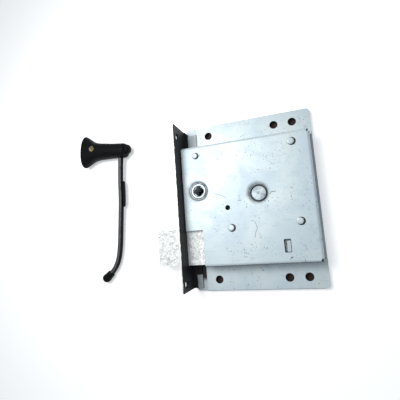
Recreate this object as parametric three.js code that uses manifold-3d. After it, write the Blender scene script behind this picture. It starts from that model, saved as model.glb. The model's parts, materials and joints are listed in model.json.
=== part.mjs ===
// A lever mortise lock lying on its back beside its loose lever handle.
// Millimetres. +Z comes out of the case front, +Y points to the top of the lock,
// and the bolt shoots towards -X. X = 0 is the inner face of the faceplate.

import * as THREE from 'three';
import { mergeVertices } from 'three/addons/utils/BufferGeometryUtils.js';
import Module from 'manifold-3d';

const wasm = await Module();
wasm.setup();

// ---------------------------------------------------------------- driving dimensions

const SHEET = 1.6; // case and back plate thickness
const FACE_SHEET = 2; // faceplate thickness
const SEAT_GAP = 0.05; // kept between sheets that lie on each other
const RUN_GAP = 0.4; // kept between a moving piece and its neighbour
const THROUGH = 1; // how far a cutter runs past the face it cuts

const FLANGE_HEIGHT = 165; // flange edge to flange edge, along Y
const FLANGE_RIGHT = 124.5; // rear edge of the flanges
const CASE_HALF = 58.2; // half the height of the raised case
const CASE_LEFT = 0.5;
const CASE_RIGHT = 121;
const CASE_CORNER = 2.5; // rounded upper front corner
const BACK_PLATE_LEFT = 2;
const REAR_LAP = 8; // how much of the case front belongs to the rear wall's strip
const CASE_RISE = 17; // from the flange face to the case front
const BEND = 1; // inside radius of the case bends
const BEND_RELIEF = { inset: 1.4, aside: 0.2, low: 12, radius: 1.5 }; // round cut where two bends meet
const FOOT_CLEARANCE = { over: 0.4, bend: 0.6 }; // kept between the case and the faceplate's foot

const RIVET_FOOT = 1.6; // rivet heads that the lock lies on
const BACK_TOP = RIVET_FOOT + SHEET;
const FLANGE_FACE = BACK_TOP + SHEET + SEAT_GAP;
const FRONT_FACE = FLANGE_FACE + CASE_RISE;
const FRONT_INNER = FRONT_FACE - SHEET;

const FACE_TOP = FLANGE_FACE + 31; // long free edge of the faceplate
const FACE_Y = [-79.4, 79.4];
const FACE_BEND = 4; // inside radius where the faceplate turns into its foot
const FACE_FOOT = 12.6; // how far the foot reaches under the case's front end
const FLANGE_LEFT = 13; // front ends of the two flanges
const FOOT_NOTCH = { x: 8.8, y: -57 }; // the foot is narrower below this
const FOOT_END_CUT = { x: 5, y: 75.5, run: 4 }; // and its upper end is cut off at a slant
const FACE_SCREWS = [{ y: 68.2 }, { y: -72.2 }];
const FACE_SCREW_DROP = 8; // below the free edge
const FACE_SCREW_RADIUS = 3.5;

const FIXING_X = [25.5, 91, 108]; // flange screw holes
const FIXING_Y = 72;
const FIXING_RADIUS = 3.6;
const FLANGE_CORNER = 3.4;

const HUB = { x: 16, y: 13.6 };
const FOLLOWER = { x: 72.4, y: 5.5 };
const HUB_HOLE = 8.7; // radius of the hole that holds the hub's bush
const JOURNAL = 7.2;
const FOLLOWER_FRONT_JOURNAL = 6.7;
const FOLLOWER_FRONT_HOLE = 7.5;
const BARREL = 10;
const SPINDLE = 8; // square spindle across flats
const INSPECTION_HOLE = { x: 42.9, y: -4.8, r: 2.3 };
const DIMPLE = { x: 94.5, y: -54, r: 0.9, depth: 0.5 };

const RIVETS = [
  { name: 'top_left', x: 14.6, y: 48.6, head: 2.75 },
  { name: 'top_right', x: 104.4, y: 48.7, head: 3.1 },
  { name: 'low_right', x: 105, y: -22.3, head: 3.1 },
];
const COVER_RIVET = { x: 44.5, y: -23.5, head: 3.1 };
const SHANK = 2.4;
const SHANK_HOLE = SHANK + 0.2;
const SLEEVE = 4;
const HEAD_RISE = 0.8;
const FOOT_RIVETS = [{ name: 'upper', y: 37 }, { name: 'lower', y: -51 }];
const FOOT_RIVET_X = 8.5;

const LUG = { x0: 90.2, x1: 95.2, y0: -48.1, y1: -37.4 };
const LUG_SLOT_GAP = 0.45;
const LUG_NOSE = { aside: 1.9, drop: 1.1, low: 17, below: 1.2 }; // the part of the lug inside the slot
const WINDOW = { right: 17.3, top: -23.6 }; // open corner of the case over the bolt

const BOLT = { tip: -30.7, rear: 32, top: -21.1, low: -56.1, z0: 5.6, z1: 18.4 };
const BOLT_TRAVEL = 29.5;
const TAIL = { x0: 16.3, z0: 6.2, z1: 10.2, top: -26.2, low: -36.8, wideLow: -48, seat: 44 };
const TAIL_END_WALL = 3;
const TAIL_RIVET_X = 25;
const TAIL_RIVET_Y = [-33, -44];
const TAIL_RIVET_RADIUS = 2.2;

const ARM = { z0: 6, z1: 10.4, ring: 14, neck: 1.8, root: 4.2 };
const HUB_ARM = { reach: 40, bulb: 3, start: -12 }; // start: bulb centre from the hub, along X
const FOLLOWER_ARM = { reach: 36, bulb: 2.5, start: -BOLT_TRAVEL / 2 };
const ARM_SLOT_GAP = 0.6;

const SPRING = { wire: 0.65, coil: 3.9, turns: 9, y: -42.8, z: 12, x0: 44.9, x1: 89.4 };
const SPIGOT = { radius: 2.7, length: 4 };

const HANDLE_AT = { x: -122.5, y: 76.6, z: 9.05, turn: -6 }; // where the loose handle lies
const HANDLE_SAG = 1.68; // degrees that the lever sags towards the table
const HANDLE_SOCKET = 34; // depth of the square socket
const SET_SCREW = { x: 15.4, y: 1.9, low: 4.6, top: 8.5, r: 3.3 };

// ---------------------------------------------------------------- materials

const zinc = new THREE.MeshStandardMaterial({ color: 0xd3dee2, roughness: 0.38, metalness: 0.85 });
const zincDull = new THREE.MeshStandardMaterial({ color: 0xb9c4c9, roughness: 0.5, metalness: 0.85 });
const blackPaint = new THREE.MeshStandardMaterial({ color: 0x1b1d1e, roughness: 0.45, metalness: 0.1 });
const castIron = new THREE.MeshStandardMaterial({ color: 0xc9cfd0, roughness: 0.7, metalness: 0.8 });
const steel = new THREE.MeshStandardMaterial({ color: 0x9ea5aa, roughness: 0.4, metalness: 0.95 });
const rivetSteel = new THREE.MeshStandardMaterial({ color: 0xc6d2d8, roughness: 0.35, metalness: 0.9 });
const springSteel = new THREE.MeshStandardMaterial({ color: 0x6f747a, roughness: 0.35, metalness: 0.95 });
const handleBlack = new THREE.MeshStandardMaterial({ color: 0x16181a, roughness: 0.35, metalness: 0.2 });
const brass = new THREE.MeshStandardMaterial({ color: 0xc6a765, roughness: 0.35, metalness: 0.95 });

// ---------------------------------------------------------------- solids and booleans

const lock = new THREE.Group();
const degrees = THREE.MathUtils.degToRad;

function solidOf(geometry, matrix) {
  const shape = geometry.index ? geometry.toNonIndexed() : geometry.clone();
  if (matrix) shape.applyMatrix4(matrix);
  shape.deleteAttribute('normal');
  shape.deleteAttribute('uv');
  const merged = mergeVertices(shape, 1e-4);
  const vertProperties = new Float32Array(merged.attributes.position.array);
  const triVerts = new Uint32Array(merged.index.array);
  return new wasm.Manifold(new wasm.Mesh({ numProp: 3, vertProperties, triVerts }));
}

function meshOf(solid) {
  const mesh = solid.getMesh();
  const positions = [];
  for (let i = 0; i < mesh.vertProperties.length; i += mesh.numProp) {
    positions.push(mesh.vertProperties[i], mesh.vertProperties[i + 1], mesh.vertProperties[i + 2]);
  }
  const geometry = new THREE.BufferGeometry();
  geometry.setAttribute('position', new THREE.Float32BufferAttribute(positions, 3));
  geometry.setIndex(Array.from(mesh.triVerts));
  geometry.computeVertexNormals();
  return geometry;
}

function place(name, solid, material, parent = lock) {
  const mesh = new THREE.Mesh(meshOf(solid), material);
  mesh.name = name;
  parent.add(mesh);
  return mesh;
}

function box(x0, x1, y0, y1, z0, z1) {
  const middle = new THREE.Matrix4().makeTranslation((x0 + x1) / 2, (y0 + y1) / 2, (z0 + z1) / 2);
  return solidOf(new THREE.BoxGeometry(x1 - x0, y1 - y0, z1 - z0), middle);
}

// An outline drawn in X and Y, raised from z0 to z1.
function raised(shape, z0, z1, curveSegments = 12) {
  const geometry = new THREE.ExtrudeGeometry(shape, { depth: z1 - z0, bevelEnabled: false, curveSegments });
  return solidOf(geometry, new THREE.Matrix4().makeTranslation(0, 0, z0));
}

// An outline drawn in Y and Z, carried along X from x0 to x1.
function carriedAlongX(shape, x0, x1, curveSegments = 8) {
  const geometry = new THREE.ExtrudeGeometry(shape, { depth: x1 - x0, bevelEnabled: false, curveSegments });
  const turn = new THREE.Matrix4().makeBasis(
    new THREE.Vector3(0, 1, 0),
    new THREE.Vector3(0, 0, 1),
    new THREE.Vector3(1, 0, 0),
  );
  turn.setPosition(x0, 0, 0);
  return solidOf(geometry, turn);
}

// An outline drawn in Z and X, carried along Y from y0 to y1.
function carriedAlongY(shape, y0, y1, curveSegments = 8) {
  const geometry = new THREE.ExtrudeGeometry(shape, { depth: y1 - y0, bevelEnabled: false, curveSegments });
  const turn = new THREE.Matrix4().makeBasis(
    new THREE.Vector3(0, 0, 1),
    new THREE.Vector3(1, 0, 0),
    new THREE.Vector3(0, 1, 0),
  );
  turn.setPosition(0, y0, 0);
  return solidOf(geometry, turn);
}

// A turned piece: profile points are [radius, height] from the axis and back to it.
function turned(profile, x, y, segments = 32) {
  const points = profile.map(([radius, height]) => new THREE.Vector2(radius, height));
  const upright = new THREE.Matrix4().makeRotationX(Math.PI / 2);
  upright.setPosition(x, y, 0);
  return solidOf(new THREE.LatheGeometry(points, segments), upright);
}

function rod(x, y, z0, z1, radius, segments = 24) {
  const upright = new THREE.Matrix4().makeRotationX(Math.PI / 2);
  upright.setPosition(x, y, (z0 + z1) / 2);
  return solidOf(new THREE.CylinderGeometry(radius, radius, z1 - z0, segments), upright);
}

function rodAlongX(x0, x1, y, z, radius, segments = 24) {
  const lying = new THREE.Matrix4().makeRotationZ(Math.PI / 2);
  lying.setPosition((x0 + x1) / 2, y, z);
  return solidOf(new THREE.CylinderGeometry(radius, radius, x1 - x0, segments), lying);
}

function allOf(solids) {
  return solids.reduce((whole, next) => whole.add(next));
}

function without(solid, cutters) {
  return cutters.reduce((left, cutter) => left.subtract(cutter), solid);
}

function polygon(points) {
  return new THREE.Shape(points.map(([a, b]) => new THREE.Vector2(a, b)));
}

function roundedRectangle(x0, x1, y0, y1, radius) {
  const shape = new THREE.Shape();
  shape.moveTo(x0 + radius, y0);
  shape.lineTo(x1 - radius, y0);
  shape.absarc(x1 - radius, y0 + radius, radius, -Math.PI / 2, 0);
  shape.lineTo(x1, y1 - radius);
  shape.absarc(x1 - radius, y1 - radius, radius, 0, Math.PI / 2);
  shape.lineTo(x0 + radius, y1);
  shape.absarc(x0 + radius, y1 - radius, radius, Math.PI / 2, Math.PI);
  shape.lineTo(x0, y0 + radius);
  shape.absarc(x0 + radius, y0 + radius, radius, Math.PI, Math.PI * 1.5);
  return shape;
}

// The section of a bent strip of sheet: its middle line turns on an arc at each corner,
// and the two faces stand half the thickness to either side of it.
function bentStrip(corners, thickness, insideRadius, steps = 6) {
  const radius = insideRadius + thickness / 2;
  const line = corners.map(([a, b]) => new THREE.Vector2(a, b));
  const middle = [];
  const add = (point, direction) => {
    middle.push({ point, across: new THREE.Vector2(-direction.y, direction.x) });
  };
  const directions = line.slice(1).map((point, i) => point.clone().sub(line[i]).normalize());
  add(line[0], directions[0]);
  for (let i = 1; i < line.length - 1; i += 1) {
    const into = directions[i - 1];
    const out = directions[i];
    const turn = Math.asin(THREE.MathUtils.clamp(into.cross(out), -1, 1));
    const setback = radius * Math.tan(Math.abs(turn) / 2);
    const start = line[i].clone().addScaledVector(into, -setback);
    const side = Math.sign(turn);
    const centre = start.clone().add(new THREE.Vector2(-into.y, into.x).multiplyScalar(side * radius));
    for (let k = 0; k <= steps; k += 1) {
      const point = start.clone().rotateAround(centre, (turn * k) / steps);
      const direction = into.clone().rotateAround(new THREE.Vector2(0, 0), (turn * k) / steps);
      add(point, direction);
    }
  }
  add(line[line.length - 1], directions[directions.length - 1]);
  const half = thickness / 2;
  const face = (offset) => middle.map(({ point, across }) => point.clone().addScaledVector(across, offset));
  return new THREE.Shape([...face(-half), ...face(half).reverse()]);
}

// ---------------------------------------------------------------- case, back plate and faceplate

const FIXINGS = [FIXING_Y, -FIXING_Y].flatMap((y) => FIXING_X.map((x) => ({ x, y })));

function fixingCutters() {
  return FIXINGS.map(({ x, y }) => rod(x, y, RIVET_FOOT - THROUGH, FLANGE_FACE + THROUGH, FIXING_RADIUS));
}

function rivetCutters(z0, z1) {
  return RIVETS.map(({ x, y }) => rod(x, y, z0, z1, SHANK_HOLE));
}

function backPlate() {
  const half = FLANGE_HEIGHT / 2;
  const outline = roundedRectangle(BACK_PLATE_LEFT, FLANGE_RIGHT, -half, half, FLANGE_CORNER);
  const sheet = raised(outline, RIVET_FOOT, BACK_TOP);
  const z0 = RIVET_FOOT - THROUGH;
  const z1 = BACK_TOP + THROUGH;
  return without(sheet, [
    ...fixingCutters(),
    ...rivetCutters(z0, z1),
    ...FOOT_RIVETS.map(({ y }) => rod(FOOT_RIVET_X, y, z0, z1, SHANK_HOLE)),
    rod(HUB.x, HUB.y, z0, z1, HUB_HOLE),
    rod(FOLLOWER.x, FOLLOWER.y, z0, z1, HUB_HOLE),
  ]);
}

function faceplate() {
  const middle = FACE_SHEET / 2;
  const footMiddle = BACK_TOP + SEAT_GAP + middle;
  const section = bentStrip(
    [[FACE_TOP, -middle], [footMiddle, -middle], [footMiddle, FACE_FOOT]],
    FACE_SHEET,
    FACE_BEND,
    8,
  );
  const screwZ = FACE_TOP - FACE_SCREW_DROP;
  const slantedEnd = polygon([
    [FOOT_END_CUT.x - FOOT_END_CUT.run, FACE_Y[1]],
    [FOOT_END_CUT.x - FOOT_END_CUT.run, FACE_Y[1] + THROUGH],
    [FACE_FOOT + THROUGH, FACE_Y[1] + THROUGH],
    [FACE_FOOT + THROUGH, FOOT_END_CUT.y],
    [FOOT_END_CUT.x, FOOT_END_CUT.y],
  ].reverse());
  return without(carriedAlongY(section, FACE_Y[0], FACE_Y[1]), [
    ...FACE_SCREWS.map(({ y }) => rodAlongX(-FACE_SHEET - THROUGH, THROUGH, y, screwZ, FACE_SCREW_RADIUS)),
    ...FOOT_RIVETS.map(({ y }) => rod(FOOT_RIVET_X, y, RIVET_FOOT, FRONT_FACE, SHANK_HOLE)),
    box(FOOT_NOTCH.x, FACE_FOOT + THROUGH, FACE_Y[0] - THROUGH, FOOT_NOTCH.y, RIVET_FOOT, FRONT_FACE),
    raised(slantedEnd, RIVET_FOOT, FRONT_FACE),
    rod(RIVETS[0].x, RIVETS[0].y, RIVET_FOOT, FRONT_FACE, SLEEVE + RUN_GAP),
    rod(HUB.x, HUB.y, RIVET_FOOT, FRONT_FACE, BARREL + RUN_GAP, 40),
    box(-FACE_SHEET - THROUGH, FACE_BEND + 2, BOLT.low - RUN_GAP, BOLT.top + RUN_GAP,
      BACK_TOP + SEAT_GAP + FACE_SHEET, BOLT.z1 + RUN_GAP),
  ]);
}

function caseShell() {
  const half = SHEET / 2;
  const low = BACK_TOP + SEAT_GAP + half;
  const high = FRONT_FACE - half;
  const wall = CASE_HALF - half;
  const edge = FLANGE_HEIGHT / 2;
  const hat = bentStrip(
    [[-edge, low], [-wall, low], [-wall, high], [wall, high], [wall, low], [edge, low]],
    SHEET,
    BEND,
  );
  const rear = bentStrip(
    [[high, CASE_RIGHT - 1.5 * REAR_LAP], [high, CASE_RIGHT - half], [BACK_TOP + 0.3, CASE_RIGHT - half]],
    SHEET,
    BEND,
  );
  const inner = CASE_HALF - SHEET;
  const outer = CASE_HALF + 0.5;
  const above = FRONT_FACE + THROUGH;
  const folded = without(carriedAlongX(hat, CASE_LEFT, FLANGE_RIGHT), [
    box(CASE_RIGHT - REAR_LAP, FLANGE_RIGHT + THROUGH, -inner, inner, BACK_TOP - THROUGH, above),
    box(CASE_RIGHT - half, FLANGE_RIGHT + THROUGH, -outer, outer, FLANGE_FACE + 0.01, above),
  ]).add(carriedAlongY(rear, -inner, inner));
  const { inset, aside, low: reliefLow, radius } = BEND_RELIEF;
  const corners = [inner - aside, aside - inner].map(
    (y) => rod(CASE_RIGHT - inset, y, reliefLow, above, radius, 16),
  );
  const cornerX = CASE_LEFT + CASE_CORNER;
  const cornerY = CASE_HALF - CASE_CORNER;
  const frontCorner = box(CASE_LEFT - THROUGH, cornerX, cornerY, outer, FLANGE_FACE + THROUGH, above)
    .subtract(rod(cornerX, cornerY, FLANGE_FACE, above + THROUGH, CASE_CORNER, 40));
  const bush = rod(HUB.x, HUB.y, FRONT_INNER - THROUGH, above, HUB_HOLE, 40);
  const boss = rod(FOLLOWER.x, FOLLOWER.y, FRONT_INNER - THROUGH, above, FOLLOWER_FRONT_HOLE, 40);
  const gap = LUG_SLOT_GAP;
  const lugSlot = roundedRectangle(LUG.x0 - gap, LUG.x1 + gap, LUG.y0 - gap, LUG.y1 + gap, 0.8);
  const flangeTop = FLANGE_FACE + THROUGH;
  const wallFoot = CASE_HALF + 0.1;
  const overFoot = BACK_TOP + FACE_SHEET + FOOT_CLEARANCE.over;
  const overBend = BACK_TOP + FACE_SHEET + FACE_BEND + FOOT_CLEARANCE.bend;
  return without(folded, [
    ...fixingCutters(),
    ...rivetCutters(FRONT_INNER - THROUGH, above),
    rod(COVER_RIVET.x, COVER_RIVET.y, FRONT_INNER - THROUGH, above, SHANK_HOLE),
    ...corners,
    ...flangeCornerCutters(),
    frontCorner,
    bush,
    boss,
    rod(INSPECTION_HOLE.x, INSPECTION_HOLE.y, FRONT_INNER - THROUGH, above, INSPECTION_HOLE.r),
    raised(lugSlot, FRONT_INNER - THROUGH, above, 4),
    // open corner over the bolt, and the ends of the two flanges
    box(-THROUGH, WINDOW.right, -outer, WINDOW.top, BACK_TOP - THROUGH, above),
    box(-THROUGH, FLANGE_LEFT, wallFoot, edge + THROUGH, BACK_TOP - THROUGH, flangeTop),
    box(-THROUGH, FLANGE_LEFT, -edge - THROUGH, -wallFoot, BACK_TOP - THROUGH, flangeTop),
    // clearance over the faceplate's bend and foot
    box(-THROUGH, FLANGE_LEFT, -edge, edge, BACK_TOP - THROUGH, overFoot),
    box(-THROUGH, FACE_BEND + FOOT_CLEARANCE.bend, -edge, edge, BACK_TOP - THROUGH, overBend),
    rod(DIMPLE.x, DIMPLE.y, FRONT_FACE - DIMPLE.depth, above, DIMPLE.r, 12),
  ]);
}

// Cutters that round the two rear corners of the flanges.
function flangeCornerCutters() {
  const half = FLANGE_HEIGHT / 2;
  const reach = FLANGE_CORNER + THROUGH;
  return [1, -1].map((side) => {
    const square = box(FLANGE_RIGHT - FLANGE_CORNER, FLANGE_RIGHT + THROUGH,
      Math.min(side * (half - FLANGE_CORNER), side * (half - FLANGE_CORNER + reach)),
      Math.max(side * (half - FLANGE_CORNER), side * (half - FLANGE_CORNER + reach)),
      RIVET_FOOT, FLANGE_FACE + THROUGH);
    const round = rod(FLANGE_RIGHT - FLANGE_CORNER, side * (half - FLANGE_CORNER),
      RIVET_FOOT - THROUGH, FLANGE_FACE + 2 * THROUGH, FLANGE_CORNER, 40);
    return square.subtract(round);
  });
}

place('back_plate', backPlate(), zincDull);
place('case_shell', caseShell(), zinc);
place('faceplate', faceplate(), blackPaint);

// ---------------------------------------------------------------- rivets, sleeves and small case pieces

const REAR_HEAD = [
  [0, 0],
  [2.6, 0],
  [3.7, RIVET_FOOT * 0.45],
  [3.9, RIVET_FOOT - SEAT_GAP],
  [SHANK, RIVET_FOOT - SEAT_GAP],
];

function frontHead(radius, seat) {
  return [
    [SHANK, seat],
    [radius, seat],
    [radius - 0.15, seat + HEAD_RISE * 0.55],
    [radius - 0.7, seat + HEAD_RISE],
    [0, seat + HEAD_RISE],
  ];
}

for (const { name, x, y, head } of RIVETS) {
  const profile = [...REAR_HEAD, ...frontHead(head, FRONT_FACE + SEAT_GAP)];
  place(`rivet_${name}`, turned(profile, x, y, 28), rivetSteel);
  const bore = SHANK + 0.3;
  const sleeve = rod(x, y, BACK_TOP + SEAT_GAP, FRONT_INNER - SEAT_GAP, SLEEVE);
  place(`spacer_${name}`, sleeve.subtract(rod(x, y, 0, FRONT_FACE, bore)), steel);
}

for (const { name, y } of FOOT_RIVETS) {
  const top = BACK_TOP + SEAT_GAP + FACE_SHEET;
  const body = turned([...REAR_HEAD, [SHANK, top], [0, top]], FOOT_RIVET_X, y, 24);
  place(`foot_rivet_${name}`, body, zincDull);
}

// Angle bracket under the cover: its lip runs along the bolt's upper edge.
const GUIDE = { x0: 36, x1: 54, y1: -16.5, z0: 12.5, z1: FRONT_INNER - SEAT_GAP, sheet: 1.2 };

function guideBracket() {
  const { x0, x1, y1, z0, z1, sheet } = GUIDE;
  const lip = BOLT.top + RUN_GAP;
  const flat = box(x0, x1, -31, y1, z1 - sheet, z1);
  const down = box(x0, x1, lip, lip + sheet, z0, z1);
  return flat.add(down).subtract(rod(COVER_RIVET.x, COVER_RIVET.y, z0, FRONT_FACE, SHANK_HOLE));
}

function coverRivet() {
  const { x, y, head } = COVER_RIVET;
  const low = GUIDE.z1 - GUIDE.sheet;
  return turned([[0, low], [SHANK, low], ...frontHead(head, FRONT_FACE + SEAT_GAP)], x, y, 28);
}

place('guide_bracket', guideBracket(), steel);
place('rivet_low_left', coverRivet(), rivetSteel);

function springLug() {
  const { aside, drop, low, below } = LUG_NOSE;
  const body = box(LUG.x0, LUG.x1, LUG.y0, LUG.y1, BACK_TOP + SEAT_GAP, low);
  const nose = box(LUG.x0 + aside, LUG.x1, LUG.y0, LUG.y1 - drop, low - THROUGH, FRONT_FACE - below);
  return body.add(nose).add(rodAlongX(LUG.x0 - SPIGOT.length, LUG.x0 + 1, SPRING.y, SPRING.z, SPIGOT.radius));
}

place('spring_lug', springLug(), zincDull);

function ring(x, y, z0, z1, outer, inner) {
  return rod(x, y, z0, z1, outer, 40).subtract(rod(x, y, z0 - THROUGH, z1 + THROUGH, inner, 40));
}

const BUSH = HUB_HOLE - 0.1;
const BUSH_BORE = JOURNAL + 0.15;
place('hub_front_bush', ring(HUB.x, HUB.y, FRONT_INNER, FRONT_FACE + 0.3, BUSH, BUSH_BORE), rivetSteel);
place('hub_rear_bush', ring(HUB.x, HUB.y, RIVET_FOOT, BACK_TOP, BUSH, BUSH_BORE), rivetSteel);
place('follower_rear_bush', ring(FOLLOWER.x, FOLLOWER.y, RIVET_FOOT, BACK_TOP, BUSH, BUSH_BORE), rivetSteel);

// Where the middle of an arm's bulb is when the arm has turned by an angle from straight down.
function bulbAt(centre, reach, angle) {
  return { x: centre.x + reach * Math.sin(angle), y: centre.y - reach * Math.cos(angle) };
}

const HUB_REST = Math.asin(HUB_ARM.start / HUB_ARM.reach);
const HUB_OPEN = Math.asin((HUB_ARM.start + BOLT_TRAVEL) / HUB_ARM.reach);
const FOLLOWER_REST = Math.asin(FOLLOWER_ARM.start / FOLLOWER_ARM.reach);

function stopPin() {
  const along = 24;
  const aside = 6.2;
  const x = HUB.x + along * Math.sin(HUB_OPEN) + aside * Math.cos(HUB_OPEN);
  const y = HUB.y - along * Math.cos(HUB_OPEN) + aside * Math.sin(HUB_OPEN);
  return rod(x, y, BACK_TOP + SEAT_GAP, ARM.z1 + 1, 2, 20);
}

place('hub_stop_pin', stopPin(), steel);

// ---------------------------------------------------------------- hub and second follower

function squareAt(centre, size, turn, z0, z1) {
  const half = size / 2;
  const placed = new THREE.Matrix4().makeRotationZ(turn);
  placed.setPosition(centre.x, centre.y, 0);
  const shape = polygon([[-half, -half], [half, -half], [half, half], [-half, half]]);
  const geometry = new THREE.ExtrudeGeometry(shape, { depth: z1 - z0, bevelEnabled: false });
  return solidOf(geometry, placed.multiply(new THREE.Matrix4().makeTranslation(0, 0, z0)));
}

const RECESS = 5.2; // round recess at each end of the hub's square hole
const FOLLOWER_SOCKET_TOP = 14;
const BARREL_TOP = FRONT_INNER - RUN_GAP;
const BARREL_LOW = BACK_TOP + RUN_GAP;
const JOURNAL_LOW = RIVET_FOOT + 0.1;

function hub() {
  const front = FRONT_FACE + 0.5;
  const body = turned([
    [0, JOURNAL_LOW],
    [JOURNAL, JOURNAL_LOW],
    [JOURNAL, BARREL_LOW],
    [BARREL, BARREL_LOW],
    [BARREL, BARREL_TOP],
    [JOURNAL, BARREL_TOP],
    [JOURNAL, front - 0.4],
    [JOURNAL - 0.4, front],
    [0, front],
  ], HUB.x, HUB.y, 40);
  return without(body, [
    squareAt(HUB, SPINDLE + 0.2, Math.PI / 4, 0, front + THROUGH),
    rod(HUB.x, HUB.y, front - 1.6, front + THROUGH, RECESS, 32),
    rod(HUB.x, HUB.y, 0, JOURNAL_LOW + 1.2, RECESS, 32),
  ]);
}

function follower() {
  const front = FRONT_FACE + 0.3;
  const body = turned([
    [0, JOURNAL_LOW],
    [JOURNAL, JOURNAL_LOW],
    [JOURNAL, BARREL_LOW],
    [BARREL, BARREL_LOW],
    [BARREL, BARREL_TOP],
    [FOLLOWER_FRONT_JOURNAL, BARREL_TOP],
    [FOLLOWER_FRONT_JOURNAL, front - 0.5],
    [FOLLOWER_FRONT_JOURNAL - 0.5, front],
    [1.1, front],
    [0, front - 0.6],
  ], FOLLOWER.x, FOLLOWER.y, 40);
  return body.subtract(squareAt(FOLLOWER, SPINDLE + 0.2, Math.PI / 4, 0, FOLLOWER_SOCKET_TOP));
}

// A flat arm: a ring round the barrel, a tapering neck and a round bulb at its end.
function arm(centre, { reach, bulb }, angle) {
  const end = bulbAt(centre, reach, angle);
  const along = new THREE.Vector2(Math.sin(angle), -Math.cos(angle));
  const across = new THREE.Vector2(-along.y, along.x);
  const corner = (distance, side) => [
    centre.x + along.x * distance + across.x * side,
    centre.y + along.y * distance + across.y * side,
  ];
  const neck = polygon([
    corner(ARM.ring - 3, -ARM.root - 1.5),
    corner(reach - 6, -ARM.neck),
    corner(reach, -ARM.neck),
    corner(reach, ARM.neck),
    corner(reach - 6, ARM.neck),
    corner(ARM.ring - 3, ARM.root + 1.5),
  ]);
  return allOf([
    rod(centre.x, centre.y, ARM.z0, ARM.z1, ARM.ring, 40),
    raised(neck, ARM.z0, ARM.z1),
    rod(end.x, end.y, ARM.z0, ARM.z1, bulb, 24),
  ]).subtract(rod(centre.x, centre.y, 0, FRONT_FACE, BARREL + 0.05, 40));
}

place('hub', hub(), rivetSteel);
place('hub_arm', arm(HUB, HUB_ARM, HUB_REST), steel);
place('follower', follower(), rivetSteel);
place('follower_arm', arm(FOLLOWER, FOLLOWER_ARM, FOLLOWER_REST), steel);

// ---------------------------------------------------------------- bolt

function boltHead() {
  const chamfer = 1.2;
  const { tip, rear, top, low, z0, z1 } = BOLT;
  const outline = polygon([
    [tip + chamfer, low],
    [rear, low],
    [rear, top],
    [tip + chamfer, top],
    [tip, top - chamfer],
    [tip, low + chamfer],
  ]);
  const pocketX = HUB.x + HUB_ARM.start;
  const pocketHalf = HUB_ARM.bulb + ARM_SLOT_GAP;
  const pocketEnd = HUB.y - HUB_ARM.reach - HUB_ARM.bulb - ARM_SLOT_GAP;
  const ledgeTop = TAIL.z1 + SEAT_GAP;
  return without(raised(outline, z0, z1), [
    box(pocketX - pocketHalf, pocketX + pocketHalf, pocketEnd, top + THROUGH, z0 - THROUGH, ARM.z1 + RUN_GAP),
    box(TAIL.x0 - 0.3, rear + THROUGH, low - THROUGH, TAIL.top + 0.3, z0 - THROUGH, ledgeTop),
    ...TAIL_RIVET_Y.map((y) => rod(TAIL_RIVET_X, y, z0, z1 + THROUGH, TAIL_RIVET_RADIUS + 0.1, 20)),
  ]);
}

function boltTail() {
  const slotX = FOLLOWER.x + FOLLOWER_ARM.start;
  const slotHalf = FOLLOWER_ARM.bulb + ARM_SLOT_GAP;
  const slotEnd = FOLLOWER.y - FOLLOWER_ARM.reach - FOLLOWER_ARM.bulb - ARM_SLOT_GAP;
  const right = slotX + slotHalf + TAIL_END_WALL;
  const { x0, z0, z1, top, low, wideLow, seat } = TAIL;
  const outline = polygon([
    [x0, wideLow],
    [seat, wideLow],
    [seat, low],
    [right, low],
    [right, top],
    [x0, top],
  ]);
  const seatWall = box(seat - 3, seat, wideLow, low - 0.6, z0, SPRING.z + 5);
  const spigot = rodAlongX(seat - 1, seat + SPIGOT.length, SPRING.y, SPRING.z, SPIGOT.radius);
  return without(allOf([raised(outline, z0, z1), seatWall, spigot]), [
    box(slotX - slotHalf, slotX + slotHalf, slotEnd, top + THROUGH, z0 - THROUGH, z1 + THROUGH),
    ...TAIL_RIVET_Y.map((y) => rod(TAIL_RIVET_X, y, z0 - THROUGH, z1 + THROUGH, TAIL_RIVET_RADIUS + 0.1, 20)),
  ]);
}

place('bolt_head', boltHead(), castIron);
place('bolt_tail', boltTail(), steel);
TAIL_RIVET_Y.forEach((y, i) => {
  place(`tail_rivet_${i + 1}`, rod(TAIL_RIVET_X, y, TAIL.z0, BOLT.z1, TAIL_RIVET_RADIUS, 20), steel);
});

// The bolt spring: a round wire wound on a helix along X.
class Helix extends THREE.Curve {
  getPoint(t) {
    const angle = t * SPRING.turns * 2 * Math.PI;
    const x = THREE.MathUtils.lerp(SPRING.x0 + SPRING.wire, SPRING.x1 - SPRING.wire, t);
    const y = SPRING.y + SPRING.coil * Math.cos(angle);
    const z = SPRING.z + SPRING.coil * Math.sin(angle);
    return new THREE.Vector3(x, y, z);
  }
}

function boltSpring() {
  const wire = new THREE.Shape();
  wire.absarc(0, 0, SPRING.wire, 0, Math.PI * 2);
  const geometry = new THREE.ExtrudeGeometry(wire, {
    steps: SPRING.turns * 14,
    curveSegments: 4,
    bevelEnabled: false,
    extrudePath: new Helix(),
  });
  return solidOf(geometry);
}

place('bolt_spring', boltSpring(), springSteel);

// ---------------------------------------------------------------- loose lever handle
// Its own frame: X runs along the neck from the flared end, and the lever hangs towards -Y.

const handle = new THREE.Group();
handle.position.set(HANDLE_AT.x, HANDLE_AT.y, HANDLE_AT.z);
handle.rotation.set(degrees(HANDLE_SAG), 0, degrees(HANDLE_AT.turn), 'ZYX');
lock.add(handle);

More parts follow.
